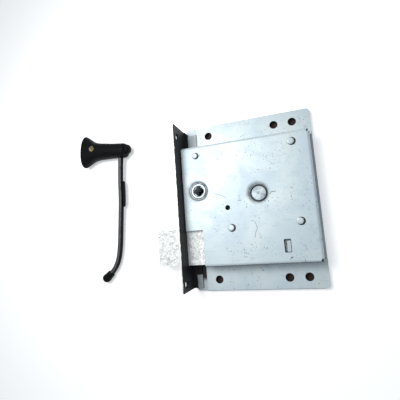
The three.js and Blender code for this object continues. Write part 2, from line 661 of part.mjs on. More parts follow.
// A piece through a row of superellipse sections, each [place along X, half width, half height].
function lofted(sections, power, columns = 48) {
  const positions = [];
  const faces = [];
  const bulge = (value) => Math.sign(value) * Math.abs(value) ** (2 / power);
  for (const [x, wide, high] of sections) {
    for (let k = 0; k < columns; k += 1) {
      const angle = (k / columns) * 2 * Math.PI;
      positions.push(x, wide * bulge(Math.cos(angle)), high * bulge(Math.sin(angle)));
    }
  }
  const last = sections.length - 1;
  const startCentre = positions.length / 3;
  positions.push(sections[0][0], 0, 0, sections[last][0], 0, 0);
  for (let k = 0; k < columns; k += 1) {
    const next = (k + 1) % columns;
    for (let row = 0; row < last; row += 1) {
      const near = row * columns;
      const far = near + columns;
      faces.push(near + k, near + next, far + next, near + k, far + next, far + k);
    }
    faces.push(startCentre, next, k, startCentre + 1, last * columns + k, last * columns + next);
  }
  const geometry = new THREE.BufferGeometry();
  geometry.setAttribute('position', new THREE.Float32BufferAttribute(positions, 3));
  geometry.setIndex(faces);
  return solidOf(geometry);
}

// A turned piece whose axis is X: profile points are [distance along X, radius].
function turnedAlongX(profile, segments = 28) {
  const points = profile.map(([along, radius]) => new THREE.Vector2(radius, along));
  const lying = new THREE.Matrix4().makeRotationZ(-Math.PI / 2);
  return solidOf(new THREE.LatheGeometry(points, segments), lying);
}

// The neck, from the flared end, as [place, half width, half height].
const NECK_END = 55.2;
const NECK_KNOTS = [
  [0, 15.5, 6.6],
  [0.8, 17.3, 8.1],
  [2.4, 18.3, 8.9],
  [4.8, 17.3, 9],
  [8.9, 14.7, 9],
  [13, 12.1, 9],
  [17, 10.5, 9],
  [22, 9.6, 8.9],
  [30, 9, 8.7],
  [38, 8.4, 8.4],
  [48, 8.1, 8.1],
  [53, 7.9, 7.9],
  [54.6, 7, 7],
  [NECK_END, 5.8, 5.8],
];
const NECK_POWER = 2.2;
const CAP_RISE = 1; // the end cap sits a little above the neck's middle line

function neckBody(grown = 0) {
  const knots = NECK_KNOTS.map(([x, wide, high]) => new THREE.Vector3(x, wide + grown, high + grown));
  const rows = new THREE.CatmullRomCurve3(knots).getPoints(4 * knots.length);
  return lofted(rows.map((row) => row.toArray()), NECK_POWER);
}

function handleNeck() {
  const half = SPINDLE / 2 + 0.1;
  return without(neckBody(), [
    box(-THROUGH, HANDLE_SOCKET, -half, half, -half, half),
    rod(SET_SCREW.x, SET_SCREW.y, 0, 2 * SET_SCREW.top, SET_SCREW.r + 0.4, 24),
  ]);
}

function handleCap() {
  const base = NECK_END + 0.1;
  const profile = [[0, 0], [0, 5.4], [2.2, 5.2], [3.8, 4], [4.7, 2.2], [5, 0]];
  return turnedAlongX(profile).translate([base, CAP_RISE, 0]);
}

// The lever hangs from the neck's far end, and its lower end bends back towards the flare.
const LEVER_THICK = 5.2; // along X
const LEVER_DEEP = 5.8; // along Z
const LEVER_EDGE = 2.2; // radius of its long edges
const RIB = { deep: 4.4, thick: 2.2, edge: 0.9, aside: 1.3, along: [0.22, 0.33, 0.44] };
const TIP_TURN = -10; // degrees that the knob leans past the lever's end
const leverPath = new THREE.CatmullRomCurve3([
  new THREE.Vector3(48.4, -5, 0),
  new THREE.Vector3(48.6, -20, 0),
  new THREE.Vector3(49.4, -36, 0),
  new THREE.Vector3(50.9, -56, 0),
  new THREE.Vector3(51.5, -80, 0),
  new THREE.Vector3(51.8, -104, 0),
  new THREE.Vector3(50.6, -118, 0),
  new THREE.Vector3(47.4, -127.5, 0),
  new THREE.Vector3(43, -134, 0),
]);

function barAlong(path, deep, thick, corner, steps) {
  const section = roundedRectangle(-deep / 2, deep / 2, -thick / 2, thick / 2, corner);
  const settings = { steps, curveSegments: 3, bevelEnabled: false, extrudePath: path };
  return solidOf(new THREE.ExtrudeGeometry(section, settings));
}

function thumbRib() {
  const aside = new THREE.Vector3(LEVER_THICK / 2 + RIB.aside, 0, 0);
  const points = RIB.along.map((share) => leverPath.getPointAt(share).add(aside));
  return barAlong(new THREE.CatmullRomCurve3(points), RIB.deep, RIB.thick, RIB.edge, 12);
}

function leverTip() {
  const end = leverPath.getPoint(1);
  const heading = leverPath.getTangent(1);
  const angle = THREE.MathUtils.radToDeg(Math.atan2(heading.y, heading.x)) + TIP_TURN;
  const profile = [[0.3, 0], [0.3, 3.3], [1.6, 3.9], [5, 4.2], [9, 4.7], [11.5, 3.9], [13.2, 2], [13.6, 0]];
  return turnedAlongX(profile).rotate([0, 0, angle]).translate([end.x, end.y, 0]);
}

function setScrew() {
  const { x, y, low, top, r } = SET_SCREW;
  const profile = [[0, low], [r - 0.9, low], [r, low + 0.9], [r, top - 0.5], [r - 0.4, top], [0, top]];
  const body = turned(profile, x, y, 24);
  const slot = new THREE.Matrix4().makeRotationZ(degrees(-52)).setPosition(x, y, top);
  return body.subtract(solidOf(new THREE.BoxGeometry(8, 0.9, 1.8), slot));
}

function leverBar(grown = 0) {
  return barAlong(leverPath, LEVER_DEEP + 2 * grown, LEVER_THICK + 2 * grown, LEVER_EDGE, 40);
}

const JOINT_GAP = 0.1; // kept between pieces of the handle
place('handle_neck', handleNeck(), handleBlack, handle);
place('handle_cap', handleCap(), handleBlack, handle);
place('handle_lever', leverBar().subtract(neckBody(JOINT_GAP)), handleBlack, handle);
place('handle_rib', thumbRib(), handleBlack, handle);
place('handle_tip', leverTip().subtract(leverBar(JOINT_GAP)), handleBlack, handle);
place('handle_set_screw', setScrew(), brass, handle);

// The origin is the middle of the bounding box, at the height of the table.
const bounds = new THREE.Box3().setFromObject(lock, true);
lock.position.set(-(bounds.min.x + bounds.max.x) / 2, -(bounds.min.y + bounds.max.y) / 2, -bounds.min.z);

export default lock;
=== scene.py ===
# %% [markdown]
# # A mortise lock with its loose lever handle
# The measured model of the lock comes in first, as a fixed frame. Every finish below is put on its pieces,
# and every new piece is built in the same place and the same metres, so nothing has to be fitted by eye.

# %% Load the fixed frame
import json
import math
import bmesh
import bpy
import numpy as np
from mathutils import Matrix, Vector


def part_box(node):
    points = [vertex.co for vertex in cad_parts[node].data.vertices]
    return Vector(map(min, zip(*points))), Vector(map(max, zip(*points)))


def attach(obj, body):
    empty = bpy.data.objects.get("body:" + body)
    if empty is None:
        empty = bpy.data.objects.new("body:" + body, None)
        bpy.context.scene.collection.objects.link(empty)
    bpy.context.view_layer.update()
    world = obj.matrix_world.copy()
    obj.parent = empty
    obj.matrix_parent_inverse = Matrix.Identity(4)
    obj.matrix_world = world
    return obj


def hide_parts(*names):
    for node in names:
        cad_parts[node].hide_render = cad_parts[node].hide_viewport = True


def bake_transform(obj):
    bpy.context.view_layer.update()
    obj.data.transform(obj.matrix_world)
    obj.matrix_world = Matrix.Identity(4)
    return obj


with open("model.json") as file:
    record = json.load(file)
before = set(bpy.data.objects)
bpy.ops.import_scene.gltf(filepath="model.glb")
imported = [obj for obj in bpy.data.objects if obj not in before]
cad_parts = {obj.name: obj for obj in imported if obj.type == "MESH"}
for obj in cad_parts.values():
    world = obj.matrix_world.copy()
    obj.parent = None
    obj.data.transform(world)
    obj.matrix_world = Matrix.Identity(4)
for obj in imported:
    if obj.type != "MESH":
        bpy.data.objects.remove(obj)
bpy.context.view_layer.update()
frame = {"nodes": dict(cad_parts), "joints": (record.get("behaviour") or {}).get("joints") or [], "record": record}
nodes = frame["nodes"]
MM = 0.001
joint_at = {joint["name"]: Vector(joint.get("pos_m") or (0, 0, 0)) for joint in frame["joints"]}
mount_at = {mount["name"]: mount for mount in frame["record"]["mounts"]}

# %% [markdown]
# The camera stands above the lock and a little in front of its rear end, and looks down and back at it.
# A wide lens close by gives the strong narrowing of the case towards the far corner. The camera could
# track an empty, but three directions worked out here are easier to check: forward, right and up.

# %% Camera
case_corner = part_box("case_shell")[0]
CAMERA_PLACE = Vector((case_corner.x, case_corner.y, 0)) + Vector((97.1, 53.2, 288.8)) * MM
CAMERA_FORWARD = Vector((-0.2876, 0.1224, -0.9499)).normalized()
CAMERA_ROLL = math.radians(4.43)
page_up = Vector((math.sin(CAMERA_ROLL), math.cos(CAMERA_ROLL), 0))
camera_right = CAMERA_FORWARD.cross(page_up).normalized()
camera_up = camera_right.cross(CAMERA_FORWARD)
camera_data = bpy.data.cameras.new("camera")
camera_data.lens = 26.5
camera_data.sensor_width = 36
camera_data.clip_start = 0.01
camera = bpy.data.objects.new("camera", camera_data)
turned_axes = Matrix((camera_right, camera_up, -CAMERA_FORWARD)).transposed()
camera.matrix_world = Matrix.Translation(CAMERA_PLACE) @ turned_axes.to_4x4()
bpy.context.scene.collection.objects.link(camera)
bpy.context.scene.camera = camera
print("the camera stands", round(CAMERA_PLACE.z / MM), "mm above the table")

# %% [markdown]
# Plated steel shows the light more than its own colour. One large soft lamp hangs up and to the left, so
# the plate is nearly white at its front end and turns blue-grey towards the rear, as bright zinc does.
# A second, weaker lamp fills in from above, and a pale sky keeps the shadows open.

# %% Lamps and sky
def soft_lamp(name, place, aim, width, power, colour):
    """A square lamp of that width in metres, at place, turned to face aim."""
    data = bpy.data.lights.new(name, "AREA")
    data.shape = "SQUARE"
    data.size = width
    data.energy = power
    data.color = colour
    lamp = bpy.data.objects.new(name, data)
    facing = (Vector(aim) - Vector(place)).to_track_quat("-Z", "Y").to_matrix().to_4x4()
    lamp.matrix_world = Matrix.Translation(place) @ facing
    lamp.visible_camera = False
    bpy.context.scene.collection.objects.link(lamp)
    return lamp


lock_middle = (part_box("case_shell")[0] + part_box("case_shell")[1]) / 2
soft_lamp("key_lamp", (-0.07, 0.09, 0.33), lock_middle, 0.18, 1.05, (1.0, 0.99, 0.97))
soft_lamp("fill_lamp", (0.10, 0.0, 0.95), lock_middle, 0.6, 0.9, (0.93, 0.97, 1.0))
sky = bpy.data.worlds.new("sky")
sky.use_nodes = True
sky.node_tree.nodes["Background"].inputs["Color"].default_value = (0.86, 0.93, 1.0, 1)
sky.node_tree.nodes["Background"].inputs["Strength"].default_value = 0.26
bpy.context.scene.world = sky
bpy.context.scene.view_settings.view_transform = "Standard"
print("two soft lamps and a pale sky")

# %% [markdown]
# A finish is a network of small nodes. Writing each link by hand takes many lines, so a few helpers come
# first: each adds one node and gives back its output, and a value may be a number or another output.

# %% Helpers for finishes
def new_finish(name):
    """An empty material with a Principled shader wired to its output: gives the tree and the shader."""
    material = bpy.data.materials.new(name)
    material.use_nodes = True
    tree = material.node_tree
    tree.nodes.clear()
    shader = tree.nodes.new("ShaderNodeBsdfPrincipled")
    output = tree.nodes.new("ShaderNodeOutputMaterial")
    tree.links.new(shader.outputs[0], output.inputs["Surface"])
    return material, tree, shader


def feed(tree, socket, value):
    """Wires an output to the socket, or sets the socket to a plain value."""
    if isinstance(value, bpy.types.NodeSocket):
        tree.links.new(value, socket)
    else:
        socket.default_value = value


def maths(tree, operation, a, b=0.0, clamp=False):
    """One Math node: a and b are outputs or numbers."""
    step = tree.nodes.new("ShaderNodeMath")
    step.operation = operation
    step.use_clamp = clamp
    feed(tree, step.inputs[0], a)
    feed(tree, step.inputs[1], b)
    return step.outputs[0]


def fade(tree, value, start, end):
    """0 where value is at start, 1 where it is at end, and a smooth step between them."""
    step = tree.nodes.new("ShaderNodeMapRange")
    step.interpolation_type = "SMOOTHSTEP"
    feed(tree, step.inputs["Value"], value)
    step.inputs["From Min"].default_value = start
    step.inputs["From Max"].default_value = end
    return step.outputs["Result"]


def blend(tree, share, a, b):
    """Colour a where share is 0 and colour b where it is 1."""
    step = tree.nodes.new("ShaderNodeMix")
    step.data_type = "RGBA"
    feed(tree, step.inputs["Factor"], share)
    feed(tree, step.inputs[6], a)
    feed(tree, step.inputs[7], b)
    return step.outputs[2]


def piece_place(tree, stretch=(1, 1, 1), turn=(0, 0, 0), shift=(0, 0, 0)):
    """The piece's own coordinates in metres, shifted, turned and stretched by a Mapping node."""
    place = tree.nodes.new("ShaderNodeTexCoord")
    mapping = tree.nodes.new("ShaderNodeMapping")
    mapping.inputs["Location"].default_value = shift
    mapping.inputs["Rotation"].default_value = turn
    mapping.inputs["Scale"].default_value = stretch
    tree.links.new(place.outputs["Object"], mapping.inputs["Vector"])
    return mapping.outputs[0]


def clouds(tree, where, size, detail=3.0, roughness=0.55, warp=0.0):
    """Soft noise from 0 to 1 whose blotches are about size metres across."""
    noise = tree.nodes.new("ShaderNodeTexNoise")
    noise.inputs["Scale"].default_value = 1 / size
    noise.inputs["Detail"].default_value = detail
    noise.inputs["Roughness"].default_value = roughness
    noise.inputs["Distortion"].default_value = warp
    tree.links.new(where, noise.inputs["Vector"])
    return noise.outputs["Fac"]


def cells(tree, where, size, randomness=1.0):
    """Distance to the nearest of many scattered points that are about size metres apart."""
    scatter = tree.nodes.new("ShaderNodeTexVoronoi")
    scatter.inputs["Scale"].default_value = 1 / size
    scatter.inputs["Randomness"].default_value = randomness
    tree.links.new(where, scatter.inputs["Vector"])
    return scatter.outputs["Distance"]


def from_axis(tree, point):
    """Distance in metres from the upright line through point."""
    flat = piece_place(tree, stretch=(1, 1, 0))
    gap = tree.nodes.new("ShaderNodeVectorMath")
    gap.operation = "DISTANCE"
    tree.links.new(flat, gap.inputs[0])
    gap.inputs[1].default_value = (point[0], point[1], 0)
    return gap.outputs["Value"]


def along(tree, axis):
    """The X, Y or Z coordinate of the piece, in metres."""
    place = tree.nodes.new("ShaderNodeTexCoord")
    split = tree.nodes.new("ShaderNodeSeparateXYZ")
    tree.links.new(place.outputs["Object"], split.inputs[0])
    return split.outputs[axis]


def raise_surface(tree, shader, height, depth, rounding=0.0):
    """Bumps the shading by height, 0 to 1, over depth metres, on edges rounded by rounding metres."""
    bump = tree.nodes.new("ShaderNodeBump")
    bump.inputs["Distance"].default_value = depth
    bump.inputs["Strength"].default_value = 1.0
    tree.links.new(height, bump.inputs["Height"])
    if rounding:
        edge = tree.nodes.new("ShaderNodeBevel")
        edge.samples = 4
        edge.inputs["Radius"].default_value = rounding
        tree.links.new(edge.outputs[0], bump.inputs["Normal"])
    tree.links.new(bump.outputs[0], shader.inputs["Normal"])


def specks(tree, size, low, high, cluster, cluster_low, cluster_high):
    """Small dark dots, 0 to 1, that gather where a slower noise is high."""
    dots = fade(tree, clouds(tree, piece_place(tree), size, 2.0, 0.6), low, high)
    clusters = clouds(tree, piece_place(tree, shift=(3, 1, 2)), cluster, 2.0)
    gather = fade(tree, clusters, cluster_low, cluster_high)
    return maths(tree, "MULTIPLY", dots, gather)


def scratches(tree, angle, length, width, low, high):
    """Fine straight marks, 0 to 1: noise stretched along one direction, cut to its highest streaks."""
    stretch = (width / length, 1, 1)
    streaks = clouds(tree, piece_place(tree, stretch=stretch, turn=(0, 0, angle)), width, 1.0, 0.4)
    return fade(tree, streaks, low, high)


def stroke(tree, here, ragged, points, width):
    """1 on a thin line through points, given in millimetres from the case's lower front corner, and 0
    elsewhere. On each straight part the nearest place is the foot of the perpendicular, kept on the part.
    here is the place looked at, with no height, and ragged is a noise that frays the line's sides."""
    nearest = None
    for start, end in zip(points[:-1], points[1:]):
        a = Vector((case_corner.x + start[0] * MM, case_corner.y + start[1] * MM, 0))
        b = Vector((case_corner.x + end[0] * MM, case_corner.y + end[1] * MM, 0))
        way = b - a
        offset = vector_maths(tree, "SUBTRACT", here, a)
        travelled = vector_maths(tree, "DOT_PRODUCT", offset, way)
        share = maths(tree, "DIVIDE", travelled, way.length_squared, True)
        foot = vector_maths(tree, "SCALE", tuple(way), share)
        reach = vector_maths(tree, "DISTANCE", offset, foot)
        nearest = reach if nearest is None else maths(tree, "MINIMUM", nearest, reach)
    frayed = maths(tree, "ADD", nearest, maths(tree, "MULTIPLY", ragged, width))
    return fade(tree, frayed, width * 1.25, width * 0.75)


def vector_maths(tree, operation, a, b):
    """One Vector Math node. It gives a number for a dot product or a distance, and else a vector."""
    node = tree.nodes.new("ShaderNodeVectorMath")
    node.operation = operation
    feed(tree, node.inputs[0], a)
    if operation == "SCALE":
        feed(tree, node.inputs["Scale"], b)
    else:
        feed(tree, node.inputs[1], b)
    return node.outputs["Value" if operation in ("DOT_PRODUCT", "DISTANCE") else "Vector"]


print("the finish helpers are ready")

# %% [markdown]
# Zinc plate is a thin pale coat on steel. On the real case it has a faint blue cast, cloudy patches from
# the bath, small dark specks in groups, and fine scratches from handling. Shade is painted on it too: grey
# rings round the hub and round the second follower, where the sheet is dished a little, dark crescents
# beside the rivets, dark lines along the case's folds and edges, and darkening in corners and on the
# walls of the screw holes. Apart from the corners, all of it is worked out from the piece's own
# coordinates, so the marks and the painted shade stay where they are when the piece is looked at from
# another side.

# %% Zinc finishes
def crevices(tree, reach):
    """1 in corners and against neighbours closer than reach metres, 0 on open faces."""
    shade = tree.nodes.new("ShaderNodeAmbientOcclusion")
    shade.samples = 8
    shade.inputs["Distance"].default_value = reach
    return maths(tree, "SUBTRACT", 1.0, shade.outputs["AO"])


def hole_walls(tree, points, radius):
    """1 on the walls of the round holes at points, which are radius metres from their middles."""
    nearest = from_axis(tree, points[0])
    for point in points[1:]:
        nearest = maths(tree, "MINIMUM", nearest, from_axis(tree, point))
    return fade(tree, nearest, radius + 0.35 * MM, radius + 0.1 * MM)


def zinc_plate(name, light, shade, grime_and_shade, roughness, rings=(), strokes=(), spray_and_shade=None):
    """Bright zinc over sheet steel. Each row of rings is (upright axis, inner radius, outer radius,
    strength) of a ring of painted shade, each row of strokes is (width, strength, points) of one scratch,
    stain or line of painted shade along a fold or edge, and the last argument is a function that says
    where this piece is painted near black, as black spray and painted shade."""
    material, tree, shader = new_finish(name)
    where = piece_place(tree)
    patches = fade(tree, clouds(tree, where, 0.035, 4.0, 0.6, 0.6), 0.30, 0.75)
    colour = blend(tree, patches, light, shade)
    grain = clouds(tree, where, 0.0009, 2.0, 0.7)
    colour = blend(tree, maths(tree, "MULTIPLY", fade(tree, grain, 0.35, 0.8), 0.10), colour, grime_and_shade)
    smudges = fade(tree, clouds(tree, piece_place(tree, shift=(7, 2, 4)), 0.006, 5.0, 0.7, 0.8), 0.54, 0.74)
    colour = blend(tree, maths(tree, "MULTIPLY", smudges, 0.22), colour, grime_and_shade)
    dots = specks(tree, 0.0018, 0.63, 0.69, 0.016, 0.50, 0.60)
    colour = blend(tree, maths(tree, "MULTIPLY", dots, 0.85), colour, grime_and_shade)
    first = scratches(tree, 0.35, 0.03, 0.0006, 0.73, 0.80)
    second = scratches(tree, 1.35, 0.024, 0.0005, 0.74, 0.80)
    marks = maths(tree, "MAXIMUM", first, second)
    marks = maths(tree, "MULTIPLY", marks, 0.35)
    here = vector_maths(tree, "MULTIPLY", where, (1, 1, 0))
    ragged = clouds(tree, where, 0.0012, 2.0, 0.7)
    # The strokes add scratches and stains, and lines of painted shade along the case's folds and edges.
    for width, strength, points in strokes:
        line = maths(tree, "MULTIPLY", stroke(tree, here, ragged, points, width * MM), strength)
        marks = maths(tree, "MAXIMUM", marks, line)
    colour = blend(tree, marks, colour, grime_and_shade)
    # Rings of painted shade: near black where a ring is a narrow gap, grey where it is a wider halo.
    for point, inner, outer, strength in rings:
        halo = fade(tree, from_axis(tree, point), outer, inner)
        wear_and_painted_shading = maths(tree, "MULTIPLY", halo, maths(tree, "ADD", clouds(tree, where, 0.004, 3.0), 0.2))
        painted_shade = SHADE_AND_SPRAY_BLACK if outer - inner < TIGHT_RING else grime_and_shade
        colour = blend(tree, maths(tree, "MULTIPLY", wear_and_painted_shading, strength, True), colour, painted_shade)
    # Painted shade in corners and against neighbours, from ambient occlusion.
    corners = fade(tree, crevices(tree, 3 * MM), 0.25, 0.85)
    colour = blend(tree, maths(tree, "MULTIPLY", corners, 0.85), colour, grime_and_shade)
    # Painted shade on the walls of the screw holes.
    colour = blend(tree, hole_walls(tree, FIXINGS, 3.6 * MM), colour, SHADE_AND_SPRAY_BLACK)
    # Near black where the last argument says: black spray, and painted shade below the bolt.
    if spray_and_shade:
        colour = blend(tree, spray_and_shade(tree), colour, SHADE_AND_SPRAY_BLACK)
    tree.links.new(colour, shader.inputs["Base Color"])
    shader.inputs["Metallic"].default_value = 0.25
    rough = maths(tree, "MULTIPLY_ADD", patches, 0.12)
    rough.node.inputs[2].default_value = roughness
    tree.links.new(rough, shader.inputs["Roughness"])
    height = maths(tree, "SUBTRACT", maths(tree, "MULTIPLY", grain, 0.35), marks)
    height = maths(tree, "SUBTRACT", height, maths(tree, "MULTIPLY", dots, 0.6))
    raise_surface(tree, shader, height, 0.00004, 0.0004)
    return material


# Near black, for painted shade in gaps, corners and holes, and for black spray.
SHADE_AND_SPRAY_BLACK = (0.012, 0.010, 0.010, 1)
TIGHT_RING = 0.8 * MM  # a ring narrower than this is near-black painted shade of a gap, a wider one grey painted shade


def spray_and_shade_on_back_plate(tree):
    """Near black on the back plate below the bolt, between the faceplate's foot and the lower flange: black spray
    past the foot, with painted shade in the gap there.
    """
    foot_side, flange_side = case_corner.x + 8.0 * MM, case_corner.x + 13.5 * MM
    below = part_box("bolt_head")[0].y
    ragged = maths(tree, "MULTIPLY", clouds(tree, piece_place(tree), 0.003, 3.0), 2.5 * MM)
    x, y = along(tree, "X"), maths(tree, "ADD", along(tree, "Y"), ragged)
    across_strip = maths(tree, "MULTIPLY", fade(tree, x, foot_side - 0.5 * MM, foot_side + 0.5 * MM),
                         fade(tree, x, flange_side + 1 * MM, flange_side))
    down_strip = maths(tree, "MULTIPLY", fade(tree, y, below - 17 * MM, below - 12 * MM),
                       fade(tree, y, below + 3 * MM, below + 2 * MM))
    return maths(tree, "MULTIPLY", across_strip, down_strip)


hub_axis = joint_at["hub_turn"]
follower_axis = joint_at["follower_turn"]
# A grey-blue for marks, stains and specks, and for painted shade in rings and corners.
GRIME_AND_SHADE = (0.10, 0.12, 0.135, 1)
openings = frame["record"]["physics"]["openings"]
FIXINGS = [
    (Vector(hole["box_m"][0]) + Vector(hole["box_m"][1])) / 2
    for hole in openings if "fixing" in hole["name"]
]
print("screw holes in the flanges:", len(FIXINGS))
# Rings of painted shade round the hub and the second follower, where the sheet is dished a little, with a dark gap
# round the follower.
RINGS = [
    (hub_axis, 8.4 * MM, 10.6 * MM, 1.6),
    (hub_axis + Vector((-1.2, 0.6, 0)) * MM, 7.5 * MM, 12.5 * MM, 0.9),
    (follower_axis, 7.95 * MM, 8.3 * MM, 3.0),
    (follower_axis + Vector((-1, 0.8, 0)) * MM, 7.7 * MM, 12 * MM, 1.2),
]
RIVETS = ("rivet_top_left", "rivet_top_right", "rivet_low_right", "rivet_low_left")


def head_radius(name):
    """The upper left rivet has a slightly smaller head than the other three."""
    return 2.75 * MM if name == "rivet_top_left" else 3.1 * MM


# A dark crescent of painted shadow on the plate at the lower right of each rivet.
for name in RIVETS:
    low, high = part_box(name)
    radius = head_radius(name)
    shaded_side = (low + high) / 2 + Vector((0.85, -0.25, 0)) * MM
    RINGS.append((shaded_side, radius + 0.35 * MM, radius + 0.65 * MM, 2.6))
# the case's folded edges, in mm from its lower front corner
FOLD_LOW, FOLD_HIGH, FOLD_END = 24.7, 140.5, 120.4
lug_middle = sum(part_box("spring_lug"), Vector()) / 2
corner_rivet = sum(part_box("rivet_top_right"), Vector()) / 2


def scratch(place, *steps):
    """Points so many mm across and up from place, turned into mm from the case's lower front corner."""
    start = (place - case_corner) / MM
    return [(start.x + across, start.y + up) for across, up in steps]


# The first five strokes are lines of painted shade along the case's folds and the lower flange's edge; the rest
# are scratches and stains.
STROKES = [  # width in mm, how dark it is, and its points
    (0.95, 1.0, [(16.5, FOLD_LOW), (FOLD_END, FOLD_LOW)]),
    (0.35, 0.65, [(14, FOLD_HIGH), (120, FOLD_HIGH)]),
    (0.30, 0.6, [(FOLD_END, 27), (FOLD_END, 138)]),
    (1.00, 0.95, [(FOLD_END, 136), (FOLD_END, 140)]),
    (0.40, 0.7, [(13, 0.3), (119, 0.3)]),
    (0.55, 1.0, scratch(follower_axis, (10, -2), (11, 0), (15, 0))),
    (0.40, 0.75, scratch(hub_axis, (15, -4), (21, -6), (26, -9))),
    (0.40, 0.7, scratch(follower_axis, (-20, -5), (-17, -5))),
    (0.60, 0.9, scratch(hub_axis, (22.5, -15), (23, -15))),
    (0.50, 0.8, scratch(hub_axis, (21, -21), (21.5, -21.5))),
    (0.45, 0.75, scratch(follower_axis, (-6, -25), (-4, -31), (-6, -35), (-7, -39))),
    (0.90, 1.0, scratch(lug_middle, (4, -10), (5, -10))),
    (0.50, 0.5, scratch(corner_rivet, (6, -9), (7, -11))),
    (0.50, 0.9, scratch(case_corner, (52, 5), (52.5, 5.5))),
]
zinc_front = zinc_plate(
    "zinc_front", (0.66, 0.755, 0.775, 1), (0.56, 0.67, 0.745, 1), GRIME_AND_SHADE, 0.44, RINGS, STROKES,
)
zinc_back = zinc_plate(
    "zinc_back", (0.62, 0.70, 0.74, 1), (0.50, 0.57, 0.62, 1), GRIME_AND_SHADE, 0.46, spray_and_shade=spray_and_shade_on_back_plate,
)
print("zinc finishes:", zinc_front.name, zinc_back.name)

# %% [markdown]
# The faceplate is sprayed satin black before it is riveted on. The spray stops a few millimetres onto
# its foot, where the case covers it. Only at the lower end, below the bolt, is the foot black to its
# edge: black spray, with painted shadow of the bolt. The long free edge is rubbed to bright metal. Paint
# and metal are two colours of one shader, and a mask made from the piece's own coordinates says where
# each shows.

# %% Black paint of the faceplate
def outside_band(tree, depth):
    """0 in a band of depth mm below the bolt's lower edge, where the foot stays black as black spray with painted
    shadow of the bolt, and 1 elsewhere.
    """
    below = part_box("bolt_head")[0].y
    ragged = maths(tree, "MULTIPLY", clouds(tree, piece_place(tree), 0.003, 3.0), 1.5 * MM)
    up = maths(tree, "ADD", along(tree, "Y"), ragged)
    under = fade(tree, up, below + 1.5 * MM, below + 0.5 * MM)
    over = fade(tree, up, below - (depth + 0.5) * MM, below - (depth - 0.5) * MM)
    return maths(tree, "SUBTRACT", 1.0, maths(tree, "MULTIPLY", under, over))


def faceplate_paint():
    """Satin black spray, bare on the free edge and beyond the spray line on the foot."""
    material, tree, shader = new_finish("faceplate_paint")
    low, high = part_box("faceplate")
    inner_face = low.x + 2 * MM
    ragged = maths(tree, "MULTIPLY", clouds(tree, piece_place(tree), 0.004, 3.0), 1.6 * MM)
    rim = fade(tree, along(tree, "Z"), high.z - 0.3 * MM, high.z - 0.1 * MM)
    outward = maths(tree, "ADD", along(tree, "X"), ragged)
    outer = fade(tree, outward, inner_face + 0.2 * MM, inner_face - 0.2 * MM)
    free_edge = maths(tree, "MULTIPLY", rim, outer)
    inward = maths(tree, "ADD", along(tree, "X"), ragged)
    past_line = fade(tree, inward, inner_face + 4.0 * MM, inner_face + 5.0 * MM)
    # Below the bolt the foot stays black: black spray, with painted shadow of the bolt.
    bare = maths(tree, "MAXIMUM", free_edge, maths(tree, "MULTIPLY", past_line, outside_band(tree, 10.0)))
    dust = specks(tree, 0.0012, 0.66, 0.74, 0.02, 0.45, 0.7)
    patches = clouds(tree, piece_place(tree), 0.012, 3.0)
    paint = blend(tree, patches, (0.010, 0.011, 0.012, 1), (0.019, 0.020, 0.020, 1))
    paint = blend(tree, maths(tree, "MULTIPLY", dust, 0.25), paint, (0.25, 0.26, 0.27, 1))
    metal = blend(tree, patches, (0.44, 0.49, 0.51, 1), (0.30, 0.34, 0.36, 1))
    metal = blend(tree, free_edge, metal, (0.86, 0.88, 0.88, 1))
    tree.links.new(blend(tree, bare, paint, metal), shader.inputs["Base Color"])
    tree.links.new(maths(tree, "MULTIPLY", bare, 0.2), shader.inputs["Metallic"])
    tree.links.new(maths(tree, "MULTIPLY_ADD", patches, 0.2), shader.inputs["Roughness"])
    shader.inputs["Roughness"].links[0].from_node.inputs[2].default_value = 0.34
    shader.inputs["Specular IOR Level"].default_value = 0.12
    orange_peel = clouds(tree, piece_place(tree), 0.0014, 2.0)
    raise_surface(tree, shader, maths(tree, "SUBTRACT", orange_peel, bare), 0.00005, 0.0004)
    return material


black_paint = faceplate_paint()
print("paint:", black_paint.name)

# %% [markdown]
# The bolt head is a rough casting that was plated without being ground. Its skin is pitted and grainy, so
# it catches the light in small dots. A voronoi pattern gives the pits and two noises give the lumps.

# %% Rough casting
def rough_casting(name):
    """A pale plated casting: lumps of about 2 mm, grain of about half a millimetre, and dark pits."""
    material, tree, shader = new_finish(name)
    where = piece_place(tree)
    lumps = fade(tree, clouds(tree, where, 0.0030, 5.0, 0.7, 0.5), 0.28, 0.58)
    grain = clouds(tree, where, 0.0007, 2.0, 0.7)
    pits = fade(tree, cells(tree, piece_place(tree, shift=(0.3, 0.1, 0)), 0.0021), 0.26, 0.12)
    gather = fade(tree, clouds(tree, where, 0.009, 2.0), 0.46, 0.60)
    pits = maths(tree, "MULTIPLY", pits, gather)
    colour = blend(tree, lumps, (0.70, 0.76, 0.79, 1), (0.98, 0.99, 0.98, 1))
    colour = blend(tree, maths(tree, "MULTIPLY", pits, 0.75), colour, (0.16, 0.16, 0.16, 1))
    tree.links.new(colour, shader.inputs["Base Color"])
    shader.inputs["Metallic"].default_value = 0.25
    shader.inputs["Roughness"].default_value = 0.55
    height = maths(tree, "ADD", lumps, maths(tree, "MULTIPLY", grain, 0.4))
    height = maths(tree, "SUBTRACT", height, pits)
    raise_surface(tree, shader, height, 0.00035, 0.0007)
    return material


bolt_casting = rough_casting("bolt_casting")
print("casting:", bolt_casting.name)

# %% [markdown]
# The pieces inside are plain stamped steel with a film of oil, the rivets, bushes and hubs are turned and
# plated, and the spring is drawn wire. One function makes all of these, because they differ only in
# colour, in gloss and in the size of the marks that the tool or the die left.

